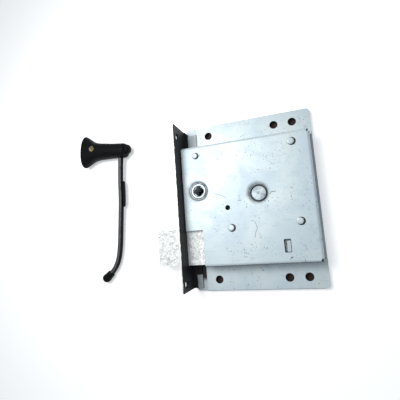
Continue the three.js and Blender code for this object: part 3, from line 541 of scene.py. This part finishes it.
# %% Plain, turned and drawn steel
def worked_steel(name, light, dark, roughness, mark_size, metallic=0.85, painted_shade=0.5):
    """Bare or plated steel: tool marks of mark_size metres, oil stains, and near-black painted shade in corners
    and against neighbours.
    """
    material, tree, shader = new_finish(name)
    where = piece_place(tree)
    stains = fade(tree, clouds(tree, where, 0.007, 4.0, 0.6, 0.5), 0.35, 0.7)
    marks = clouds(tree, piece_place(tree, stretch=(1, 1, 0.12)), mark_size, 3.0)
    colour = blend(tree, stains, light, dark)
    colour = blend(tree, maths(tree, "MULTIPLY", fade(tree, marks, 0.5, 0.8), 0.3), colour, dark)
    # Painted shade: near black in corners and against neighbours, from ambient occlusion.
    corners = fade(tree, crevices(tree, 5 * MM), 0.15, 0.55)
    colour = blend(tree, maths(tree, "MULTIPLY", corners, painted_shade), colour, SHADE_AND_SPRAY_BLACK)
    tree.links.new(colour, shader.inputs["Base Color"])
    shader.inputs["Metallic"].default_value = metallic
    gloss = maths(tree, "MULTIPLY_ADD", stains, 0.16)
    gloss.node.inputs[2].default_value = roughness
    tree.links.new(gloss, shader.inputs["Roughness"])
    raise_surface(tree, shader, marks, 0.00003, 0.0003)
    return material


works_steel = worked_steel("works_steel", (0.42, 0.44, 0.46, 1), (0.20, 0.20, 0.20, 1), 0.32, 0.0012)
bright_steel = worked_steel(
    "bright_steel", (0.62, 0.70, 0.73, 1), (0.38, 0.45, 0.50, 1), 0.40, 0.0009, 0.3, 0.93,
)
spring_steel = worked_steel("spring_steel", (0.30, 0.31, 0.33, 1), (0.14, 0.14, 0.15, 1), 0.28, 0.0008)
boss_steel = worked_steel(
    "boss_steel", (0.50, 0.58, 0.62, 1), (0.26, 0.31, 0.34, 1), 0.42, 0.0012, 0.25, 0.93,
)
bush_steel = worked_steel("bush_steel", (0.36, 0.40, 0.42, 1), (0.12, 0.13, 0.14, 1), 0.42, 0.0009, 0.3)
brass = worked_steel("worn_brass", (0.38, 0.32, 0.17, 1), (0.10, 0.09, 0.06, 1), 0.40, 0.0009, 0.5)
print("steels:", works_steel.name, bright_steel.name, spring_steel.name, brass.name)

# %% [markdown]
# The loose handle is cast metal under black enamel. The enamel is smooth and dark, with a slight waviness,
# and it is grey along the lever's upper edge: worn where it was gripped, and painted lighter there as a
# highlight. The grey band follows the lever, so the lever carries its own number for it on every point,
# and the finish reads it.

# %% Black enamel of the handle
def handle_enamel(name):
    """Black enamel over cast metal, grey where the piece's own point attribute is near 1: worn enamel and a
    painted highlight.
    """
    material, tree, shader = new_finish(name)
    where = piece_place(tree)
    # The grey band is worn enamel and a painted highlight, read from the piece's own point attribute.
    wear_and_shading_here = tree.nodes.new("ShaderNodeAttribute")
    wear_and_shading_here.attribute_name = "wear_and_painted_shading"
    ragged = maths(tree, "SUBTRACT", clouds(tree, where, 0.003, 4.0), 0.5)
    wear_and_painted_shading = maths(tree, "MULTIPLY_ADD", ragged, 0.7)
    tree.links.new(wear_and_shading_here.outputs["Fac"], wear_and_painted_shading.node.inputs[2])
    wear_and_painted_shading = fade(tree, wear_and_painted_shading, 0.25, 0.85)
    tone = clouds(tree, where, 0.009, 3.0)
    enamel = blend(tree, tone, (0.0045, 0.0048, 0.005, 1), (0.008, 0.008, 0.009, 1))
    dust = specks(tree, 0.0010, 0.69, 0.76, 0.015, 0.5, 0.7)
    enamel = blend(tree, maths(tree, "MULTIPLY", dust, 0.2), enamel, (0.2, 0.2, 0.2, 1))
    metal = blend(tree, tone, (0.06, 0.06, 0.065, 1), (0.15, 0.15, 0.155, 1))
    tree.links.new(blend(tree, wear_and_painted_shading, enamel, metal), shader.inputs["Base Color"])
    tree.links.new(maths(tree, "MULTIPLY", wear_and_painted_shading, 0.4), shader.inputs["Metallic"])
    gloss = maths(tree, "MULTIPLY_ADD", tone, 0.14)
    gloss.node.inputs[2].default_value = 0.42
    tree.links.new(gloss, shader.inputs["Roughness"])
    shader.inputs["Specular IOR Level"].default_value = 0.07
    waves = clouds(tree, where, 0.0035, 2.0)
    raise_surface(tree, shader, maths(tree, "SUBTRACT", waves, wear_and_painted_shading), 0.00006)
    return material


enamel = handle_enamel("handle_enamel")
print("enamel:", enamel.name)

# %% [markdown]
# Each piece of the measured model gets the finish of its material slot. The slots are in the packed
# record, so a piece that is added there finds its finish here without a new line.

# %% Put the finishes on the measured pieces
FINISHES = {
    "zinc_front": zinc_front,
    "zinc_back": zinc_back,
    "black_paint": black_paint,
    "bolt_casting": bolt_casting,
    "works_steel": works_steel,
    "bright_steel": bright_steel,
    "spring_steel": spring_steel,
    "handle_paint": enamel,
    "brass": brass,
}
slot_of = {part["node"]: part["material_slot"] for part in frame["record"]["subparts"]}
for name, node in nodes.items():
    node.data.materials.clear()
    node.data.materials.append(FINISHES[slot_of[name]])
print("finishes on", len(slot_of), "pieces")

# %% [markdown]
# New pieces are grids of points worked out as whole arrays. A helper joins neighbours in the grid with
# faces. Along the rows the grid may close on itself, and it may close at each end in a single
# point, which is how a turned piece ends on its axis.

# %% Helper: a grid of points becomes a piece
def surface(name, points, closed_rows, finish, body, stands_for, wear_and_painted_shading=None):
    """A mesh from points[row, column]: columns always close round, rows close too if closed_rows.
    With body None the piece is not attached to a body."""
    rows, columns = points.shape[:2]
    row, column = np.meshgrid(np.arange(rows if closed_rows else rows - 1), np.arange(columns), indexing="ij")
    next_row, next_column = (row + 1) % rows, (column + 1) % columns
    corners = [row * columns + column, row * columns + next_column,
               next_row * columns + next_column, next_row * columns + column]
    faces = np.stack(corners, axis=-1).reshape(-1, 4)
    mesh = bpy.data.meshes.new(name)
    flat = points.reshape(-1, 3)
    mesh.vertices.add(len(flat))
    mesh.vertices.foreach_set("co", flat.astype(np.float32).ravel())
    mesh.loops.add(faces.size)
    mesh.loops.foreach_set("vertex_index", faces.astype(np.int32).ravel())
    mesh.polygons.add(len(faces))
    mesh.polygons.foreach_set("loop_start", np.arange(0, faces.size, 4, dtype=np.int32))
    mesh.polygons.foreach_set("use_smooth", np.ones(len(faces), dtype=bool))
    mesh.update(calc_edges=True)
    if wear_and_painted_shading is not None:
        attribute = mesh.attributes.new("wear_and_painted_shading", "FLOAT", "POINT")
        attribute.data.foreach_set("value", wear_and_painted_shading.astype(np.float32).ravel())
    close_poles(mesh)
    mesh.materials.append(finish)
    piece = bpy.data.objects.new(name, mesh)
    bpy.context.scene.collection.objects.link(piece)
    if body:
        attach(piece, body)
    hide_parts(stands_for)
    return piece


def close_poles(mesh):
    """Merges points that lie on each other, such as the ends of a turned piece, and faces it outwards."""
    whole = bmesh.new()
    whole.from_mesh(mesh)
    bmesh.ops.remove_doubles(whole, verts=whole.verts, dist=1e-7)
    bmesh.ops.recalc_face_normals(whole, faces=whole.faces)
    whole.to_mesh(mesh)
    whole.free()


print("surface helper ready")

# %% [markdown]
# Rivet ends, bushes and hubs are turned. A turned piece is a profile, given as distances from the axis and
# heights, carried round in a circle. Real edges are never sharp, so the profile's corners are first cut
# twice, each time by a quarter, which leaves a small round. A square hole comes from the same
# grid: there the circle is pulled out to a square.

# %% Helper: turned pieces
def rounded(profile, size):
    """Each corner of the profile becomes three points: size before it, near it, and size after it."""
    rows = np.asarray(profile, dtype=float)
    before, here, after = rows[:-2], rows[1:-1], rows[2:]
    back = before[:, :2] - here[:, :2]
    on = after[:, :2] - here[:, :2]
    back_length = np.linalg.norm(back, axis=1, keepdims=True)
    on_length = np.linalg.norm(on, axis=1, keepdims=True)
    step_back = back / back_length * np.minimum(size, back_length * 0.45)
    step_on = on / on_length * np.minimum(size, on_length * 0.45)
    first = np.column_stack([here[:, :2] + step_back, here[:, 2]])
    middle = np.column_stack([here[:, :2] + 0.22 * (step_back + step_on), here[:, 2]])
    last = np.column_stack([here[:, :2] + step_on, here[:, 2]])
    inside = np.stack([first, middle, last], axis=1).reshape(-1, 3)
    return np.vstack([rows[:1], inside, rows[-1:]])


def turned_grid(profile, segments=96):
    """Profile rows are (radius, height, squareness), all swept round: the radius at angle a is a mix of
    the circle's r and the square's r / max(|cos b|, |sin b|), in the share squareness. Angle b is a
    less an eighth of a turn, so a square stands on its corner."""
    rows = np.asarray(profile, dtype=float)
    angle = np.arange(segments) * 2 * np.pi / segments
    on_corner = angle - np.pi / 4
    square = 1 / np.maximum(np.abs(np.cos(on_corner)), np.abs(np.sin(on_corner)))
    square = np.minimum(square, 1.27)
    radius = rows[:, :1] * (1 + rows[:, 2:] * (square - 1))
    height = np.broadcast_to(rows[:, 1:2], radius.shape)
    return np.stack([radius * np.cos(angle), radius * np.sin(angle), height], axis=-1)


def hammered(points, amount, seed):
    """Moves each point out or in by amount times a sum of three slow waves round the axis and up it."""
    angle = np.arctan2(points[..., 1], points[..., 0])
    height = points[..., 2] / MM
    wave = np.sin(3 * angle + seed) + 0.6 * np.sin(5 * angle - 2 * seed + height)
    wave = wave + 0.4 * np.sin(9 * angle + height)
    scale = 1 - amount * (1 + wave / 2)
    return points * np.stack([scale, scale, np.ones_like(scale)], axis=-1)


print("turned pieces ready")

# %% [markdown]
# The rivets were closed with a press, so their ends are low domes that are a little out of round. The
# front end of each is seen as a bright disc with a dark edge on its shaded side.

# %% Rivets
def rivet_piece(name, seed):
    """A rivet on the axis of its measured solid: rear head, shank and front head in one turned profile."""
    low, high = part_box(name)
    centre = (low + high) / 2
    head = head_radius(name)
    seat = high.z - 0.8 * MM
    shank = 2.4 * MM
    rear = [(0, low.z, 0), (2.6 * MM, low.z, 0), (3.75 * MM, low.z + 0.7 * MM, 0),
            (3.9 * MM, low.z + 1.5 * MM, 0), (shank, low.z + 1.5 * MM, 0)]
    if name == "rivet_low_left":
        rear = [(0, low.z, 0), (shank, low.z, 0)]
    front = [(shank, seat, 0), (head, seat, 0), (head - 0.12 * MM, seat + 0.5 * MM, 0),
             (head - 0.6 * MM, high.z - 0.04 * MM, 0), (head * 0.45, high.z, 0), (0, high.z - 0.03 * MM, 0)]
    points = hammered(turned_grid(rounded(rear + front, 0.25 * MM), 64), 0.012, seed)
    points = points + np.array([centre.x, centre.y, 0])
    return surface(name + "_closed", points, False, bright_steel, "case", name)


for seed, name in enumerate(RIVETS):
    rivet_piece(name, seed * 1.7)
print(len(RIVETS), "rivets")

# %% [markdown]
# The hub turns in a plated bush pressed into the case. Its middle has a shallow round recess and then the
# square hole for the spindle, set corner up. The second follower is solid in front, with only a centre
# mark, and its square socket opens at the back.

# %% Hub, second follower and the front bush
def round_piece(name, axis, profile, closed, finish, body, corner=0.3 * MM):
    """One turned piece about the upright line through axis. Each row of the profile is
    (radius, height, squareness), with the lengths in mm."""
    rows = np.asarray(profile, dtype=float) * np.array([MM, MM, 1])
    if closed:
        rows = np.vstack([rows, rows[:1]])
    grid = turned_grid(rounded(rows, corner), 96)
    if closed:
        grid = grid[:-1]
    points = grid + np.array([axis.x, axis.y, 0])
    return surface(name + "_turned", points, closed, finish, body, name)


hub_low, hub_high = (corner.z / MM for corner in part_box("hub"))
case_low, case_high = (corner.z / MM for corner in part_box("case_shell"))
barrel_low, barrel_high = case_low + 0.35, case_high - 2
half_square = 4.1
hub_profile = [
    (7.2, hub_low, 0), (7.2, barrel_low, 0), (10, barrel_low, 0), (10, barrel_high, 0), (7.2, barrel_high, 0),
    (7.2, hub_high - 0.4, 0), (6.8, hub_high, 0), (5.5, hub_high, 0), (5.2, hub_high - 0.3, 0),
    (5.2, hub_high - 1.6, 0), (4.4, hub_high - 1.62, 0.9), (half_square, hub_high - 1.8, 1),
    (half_square, hub_low + 1.4, 1), (4.4, hub_low + 1.22, 0.9), (5.2, hub_low + 1.2, 0), (5.2, hub_low, 0),
]
round_piece("hub", hub_axis, hub_profile, True, bright_steel, "hub", 0.2 * MM)
follower_low, follower_high = (corner.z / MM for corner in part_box("follower"))
follower_profile = [
    (0, 14, 1), (half_square, 14, 1), (half_square, follower_low, 1), (7.2, follower_low, 0),
    (7.2, barrel_low, 0), (10, barrel_low, 0), (10, barrel_high, 0), (6.7, barrel_high, 0),
    (6.7, follower_high - 0.5, 0), (6.2, follower_high, 0),
    (1.2, follower_high, 0), (0, follower_high - 0.6, 0),
]
round_piece("follower", follower_axis, follower_profile, False, boss_steel, "follower", 0.25 * MM)
bush_low, bush_high = (corner.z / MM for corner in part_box("hub_front_bush"))
bush_profile = [(7.36, bush_low, 0), (8.6, bush_low, 0), (8.6, bush_high, 0), (7.36, bush_high, 0)]
round_piece("hub_front_bush", hub_axis, bush_profile, True, bush_steel, "case", 0.25 * MM)
print("hub", round(hub_high - hub_low, 2), "mm long, follower", round(follower_high - follower_low, 2), "mm")

# %% [markdown]
# The bolt spring is drawn wire wound on a helix between the bolt's tail and the lug. A round section stands
# square to the helix at each step. In the lock the tail end goes with the bolt and the other end stays
# with the case, so the coils close up when the bolt is drawn back; here the coil is built at rest and is
# not attached to a body.

# %% Bolt spring
def coiled_wire(start, end, coil, wire, turns, steps=420, columns=12):
    """The helix is start + t (end - start) plus coil (cos a, sin a) in Y and Z, where a is turns whole
    turns times t. The wire's circle lies in the plane of the outward way and of its cross product with
    the helix's direction."""
    t = np.linspace(0, 1, steps)
    a = 2 * np.pi * turns * t
    out = np.stack([np.zeros(steps), np.cos(a), np.sin(a)], axis=1)
    middle = np.asarray(start) + t[:, None] * (np.asarray(end) - np.asarray(start)) + coil * out
    heading = np.gradient(middle, axis=0)
    heading /= np.linalg.norm(heading, axis=1, keepdims=True)
    beside = np.cross(heading, out)
    around = np.arange(columns) * 2 * np.pi / columns
    circle = np.cos(around)[None, :, None] * out[:, None] + np.sin(around)[None, :, None] * beside[:, None]
    tube = middle[:, None] + wire * circle
    caps = [np.broadcast_to(middle[k], (1, columns, 3)) for k in (0, -1)]
    return np.concatenate([caps[0], tube, caps[1]])


SPRING_WIRE = 0.64 * MM
SPRING_TURNS = 9
spring_low, spring_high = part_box("bolt_spring")
spring_middle = (spring_low + spring_high) / 2
spring_coil = (spring_high.z - spring_low.z) / 2 - SPRING_WIRE - 0.02 * MM
spring_start = Vector((spring_low.x + SPRING_WIRE + 0.06 * MM, spring_middle.y, spring_middle.z))
spring_end = Vector((spring_high.x - SPRING_WIRE - 0.06 * MM, spring_middle.y, spring_middle.z))
spring_wire = coiled_wire(spring_start, spring_end, spring_coil, SPRING_WIRE, SPRING_TURNS)
spring = surface("bolt_spring_coiled", spring_wire, False, spring_steel, None, "bolt_spring")
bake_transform(spring)
print("spring", round((spring_end.x - spring_start.x) / MM, 1), "mm long at rest,", SPRING_TURNS, "turns")

# %% [markdown]
# The handle lies on its side with its own directions: along the neck, down the lever and across. The
# flared end and the tip of the lever both touch the table, so the whole handle is tilted a little. Its
# pieces are worked out in its own directions first and then turned into place.

# %% The handle's own directions
HANDLE_SAG = math.radians(1.68)
base_mount = mount_at["handle_base"]
neck_way = -np.array(base_mount["axis"], dtype=float)
side_way = np.array([-neck_way[1], neck_way[0], 0.0])
table_up = np.array([0.0, 0.0, 1.0])
up_lever = side_way * math.cos(HANDLE_SAG) + table_up * math.sin(HANDLE_SAG)
across = np.cross(neck_way, up_lever)
handle_axes = np.stack([neck_way, up_lever, across])
handle_origin = np.array(base_mount["pos_m"]) - 10 * MM * up_lever


def in_handle(points):
    """Takes points from the handle's own directions, in metres, to the table's."""
    return points @ handle_axes + handle_origin


def handle_place(point):
    """Takes one point from the table's directions to the handle's own, in mm."""
    return handle_axes @ (np.array(point) - handle_origin) / MM


print("the neck points", np.round(neck_way, 3))

# %% [markdown]
# The neck is a bar with softly rounded sides that spreads out into a fishtail at its base, where it
# fits against the door. It is lofted: half widths and half heights at a few places along the neck are
# joined by a smooth curve, and a superellipse of that size stands at each place. The base holds a
# square socket. On top a round well takes the set screw; inside the well's circle each point of the
# grid drops to its floor.

# %% Handle neck
def smooth_through(knots, count):
    """count points on a curve through the knots: each span is a cubic whose ends have the slope
    of the line between the knots on either side."""
    knots = np.asarray(knots, dtype=float)
    slopes = np.gradient(knots, axis=0)
    t = np.linspace(0, len(knots) - 1, count)
    span = np.minimum(t.astype(int), len(knots) - 2)
    u = (t - span)[:, None]
    a, b, m, n = knots[span], knots[span + 1], slopes[span], slopes[span + 1]
    return (
        (2 * u**3 - 3 * u**2 + 1) * a + (u**3 - 2 * u**2 + u) * m
        + (3 * u**2 - 2 * u**3) * b + (u**3 - u**2) * n
    )


def superellipse_rows(rows, power, columns):
    """Rows are (place, half width, half height): points (place, w c, h s), where c and s are the cosine
    and sine with their sizes raised to 2 / power."""
    angle = np.arange(columns) * 2 * np.pi / columns
    c, s = np.cos(angle), np.sin(angle)
    wide = np.sign(c) * np.abs(c) ** (2 / power)
    high = np.sign(s) * np.abs(s) ** (2 / power)
    rows = np.asarray(rows, dtype=float)
    place = np.broadcast_to(rows[:, :1], (len(rows), columns))
    return np.stack([place, rows[:, 1:2] * wide, rows[:, 2:3] * high], axis=-1)


def square_rows(places, halves, columns):
    """A square tube as rows: each point of a circle is pulled out to the square's side."""
    angle = np.arange(columns) * 2 * np.pi / columns
    out = 1 / np.maximum(np.abs(np.cos(angle)), np.abs(np.sin(angle)))
    place = np.broadcast_to(np.asarray(places, dtype=float)[:, None], (len(places), columns))
    half = np.asarray(halves, dtype=float)[:, None]
    return np.stack([place, half * out * np.cos(angle), half * out * np.sin(angle)], axis=-1)


NECK_COLUMNS = 240
NECK_END = 55.1
neck_knots = [
    (0.03, 15.6, 6.7), (0.8, 17.3, 8.1), (2.4, 18.2, 8.8), (4.8, 17.25, 8.95), (8.9, 14.6, 8.95),
    (13, 12.0, 8.95), (17, 10.45, 8.95), (22, 9.55, 8.85), (30, 8.95, 8.65), (38, 8.35, 8.35),
    (48, 8.05, 8.05), (53, 7.85, 7.85), (54.6, 6.9, 6.9), (NECK_END, 5.7, 5.7),
]
socket = square_rows([33.9, 33.9, 12, 0.5, 0.05], [0, 4.1, 4.1, 4.1, 4.5], NECK_COLUMNS)
base_face = superellipse_rows([(0.03, 8, 5.8), (0.03, 14.8, 6.3)], 2.2, NECK_COLUMNS)
outside = superellipse_rows(smooth_through(neck_knots, 260), 2.2, NECK_COLUMNS)
end_face = superellipse_rows([(NECK_END, 2.6, 2.6), (NECK_END, 0, 0)], 2.0, NECK_COLUMNS)
neck = np.concatenate([socket, base_face, outside, end_face])
screw_low, screw_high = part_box("handle_set_screw")
screw_middle = handle_place((screw_low + screw_high) / 2)
from_screw = np.hypot(neck[..., 0] - screw_middle[0], neck[..., 1] - screw_middle[1])
WELL_RADIUS, WELL_FLOOR = 3.6, 5.2
well = (from_screw < WELL_RADIUS) & (neck[..., 2] > 5)
neck[..., 2] = np.where(well, WELL_FLOOR, neck[..., 2])
surface("handle_neck_lofted", in_handle(neck * MM), False, enamel, "handle", "handle_neck")

cap_low, cap_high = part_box("handle_cap")
cap_middle = handle_place((cap_low + cap_high) / 2)
cap_knots = [
    (NECK_END + 0.2, 5.3, 5.3), (NECK_END + 2.3, 5.1, 5.1), (NECK_END + 3.9, 3.9, 3.9),
    (NECK_END + 4.75, 2.1, 2.1), (NECK_END + 5, 0, 0),
]
cap_rows = np.vstack([[(NECK_END + 0.2, 0, 0)], smooth_through(cap_knots, 40)])
cap = superellipse_rows(cap_rows, 2.0, 64)
cap[..., 1] += cap_middle[1]
surface("handle_cap_domed", in_handle(cap * MM), False, enamel, "handle", "handle_cap")
print("neck grid", neck.shape[:2], "set screw at", np.round(screw_middle, 1), "mm")

# %% [markdown]
# The lever is a slim bar carried along a curve: nearly straight down from the neck, and bent back towards
# the flared end at the bottom, where it ends in a thick knob. Its number for wear and painted highlight is
# highest along the upper edge, where hands have rubbed the enamel away and the highlight is painted. The
# thumb rib follows the same curve.

# %% Lever, rib and knob
LEVER_KNOTS = [(48.5, -8.4), (48.7, -20), (49.4, -36), (50.9, -56), (51.5, -80), (51.8, -104), (50.6, -118),
               (47.4, -127.5), (43, -134)]


def carried_bar(line, half_thick, half_deep, power, columns, swell=1.0):
    """A superellipse section carried along a line in the handle's plane, each row square to the line.
    The section's half sizes are multiplied by swell. Both ends close in one point."""
    heading = np.gradient(line, axis=0)
    heading /= np.linalg.norm(heading, axis=1, keepdims=True)
    beside = np.column_stack([-heading[:, 1], heading[:, 0]])
    loop = superellipse_rows([(0, half_thick, half_deep)], power, columns)[0, :, 1:]
    size = np.broadcast_to(np.asarray(swell, dtype=float), (len(line),))[:, None]
    x = line[:, :1] + beside[:, :1] * loop[:, 0] * size
    y = line[:, 1:] + beside[:, 1:] * loop[:, 0] * size
    bar = np.stack([x, y, size * loop[:, 1]], axis=-1)
    ends = [np.broadcast_to(bar[k].mean(axis=0), bar[k].shape)[None] for k in (0, -1)]
    return np.concatenate([ends[0], bar, ends[1]]), loop


lever_line = smooth_through(LEVER_KNOTS, 170)
lever, lever_loop = carried_bar(lever_line, 2.55, 2.85, 2.6, 64)
# Highest on the lever's upper side: worn enamel and a painted highlight.
upper_edge = np.clip(lever_loop[:, 1] / 2.85 * 0.9 - lever_loop[:, 0] / 2.55 * 0.55 + 0.05, 0, 1)
lever_wear_and_highlight = np.broadcast_to(upper_edge, lever.shape[:2]).copy()
surface("handle_lever_swept", in_handle(lever * MM), False, enamel, "handle", "handle_lever", lever_wear_and_highlight)

rib_low, rib_high = (handle_place(corner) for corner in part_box("handle_rib"))
rib_share = np.linspace(-1, 1, 60)
rib_y = (rib_low[1] + rib_high[1]) / 2 + rib_share * 14.2
rib_x = np.interp(-rib_y, -lever_line[:, 1], lever_line[:, 0]) + 3.9
rib_swell = np.clip(1 - np.abs(rib_share) ** 8, 0.0004, 1) ** (1 / 4)
rib, _ = carried_bar(np.column_stack([rib_x, rib_y]), 1.08, 2.15, 3.0, 40, rib_swell)
surface("handle_rib_raised", in_handle(rib * MM), False, enamel, "handle", "handle_rib")

KNOB_BEND = math.radians(10)
last_step = np.subtract(LEVER_KNOTS[-1], LEVER_KNOTS[-2])
knob_turn = math.atan2(last_step[1], last_step[0]) - KNOB_BEND
knob_knots = [(0.35, 3.25), (1.6, 3.85), (5, 4.15), (9, 4.6), (11.5, 3.85), (13.2, 1.95), (13.55, 0.02)]
knob_rows = smooth_through(knob_knots, 60)
knob_way = np.array([[math.cos(knob_turn), math.sin(knob_turn)]])
knob_line = np.array(LEVER_KNOTS[-1]) + knob_rows[:, :1] * knob_way
knob, _ = carried_bar(knob_line, 1.0, 1.0, 2.2, 56, knob_rows[:, 1])
surface("handle_tip_rounded", in_handle(knob * MM), False, enamel, "handle", "handle_tip")
print("lever grid", lever.shape[:2], "knob grid", knob.shape[:2])

# %% [markdown]
# The floor is one plain pale sheet, well beyond what the camera sees. It glows a little, like a light
# table, so it stays pale in shade. A dark card of painted shade lies under the lock, smaller than its
# back plate, and makes the holes read as dark holes. Both are stage, not parts of the lock.

# %% Floor and card
def flat_sheet(name, low, high, height, colour, glow):
    """A flat rectangle from low to high at that height, matt, mottled a little, and glowing by glow."""
    finish, tree, shader = new_finish(name)
    mottle = clouds(tree, piece_place(tree), 0.05, 3.0)
    shade = blend(tree, maths(tree, "MULTIPLY", mottle, 0.04), colour, (0.5, 0.5, 0.5, 1))
    tree.links.new(shade, shader.inputs["Base Color"])
    shader.inputs["Roughness"].default_value = 0.9
    shader.inputs["Specular IOR Level"].default_value = 0.1
    shader.inputs["Emission Color"].default_value = (1, 1, 1, 1)
    shader.inputs["Emission Strength"].default_value = glow
    mesh = bpy.data.meshes.new(name)
    corners = [
        (low[0], low[1], height), (high[0], low[1], height),
        (high[0], high[1], height), (low[0], high[1], height),
    ]
    mesh.from_pydata(corners, [], [(0, 1, 2, 3)])
    mesh.materials.append(finish)
    sheet = bpy.data.objects.new(name, mesh)
    bpy.context.scene.collection.objects.link(sheet)
    return sheet


FLOOR_COLOUR, SHADE_CARD_COLOUR = (0.93, 0.94, 0.95, 1), (0.035, 0.022, 0.022, 1)
FLOOR_REACH, FLOOR_GLOW = 3.0, 0.42
CARD_INSET, CARD_LIFT = 4 * MM, 0.05 * MM
floor = flat_sheet(
    "floor", (-FLOOR_REACH, -FLOOR_REACH), (FLOOR_REACH, FLOOR_REACH), 0.0, FLOOR_COLOUR, FLOOR_GLOW,
)
plate_low, plate_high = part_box("back_plate")
card_low = (plate_low.x + CARD_INSET, plate_low.y + CARD_INSET)
card_high = (plate_high.x - CARD_INSET, plate_high.y - CARD_INSET)
# A dark sheet of painted shade under the lock, seen through its holes.
shade_card = flat_sheet("shade_card", card_low, card_high, CARD_LIFT, SHADE_CARD_COLOUR, 0.0)
print("stage: the floor reaches", FLOOR_REACH, "m each way, and the card lies inside the back plate")
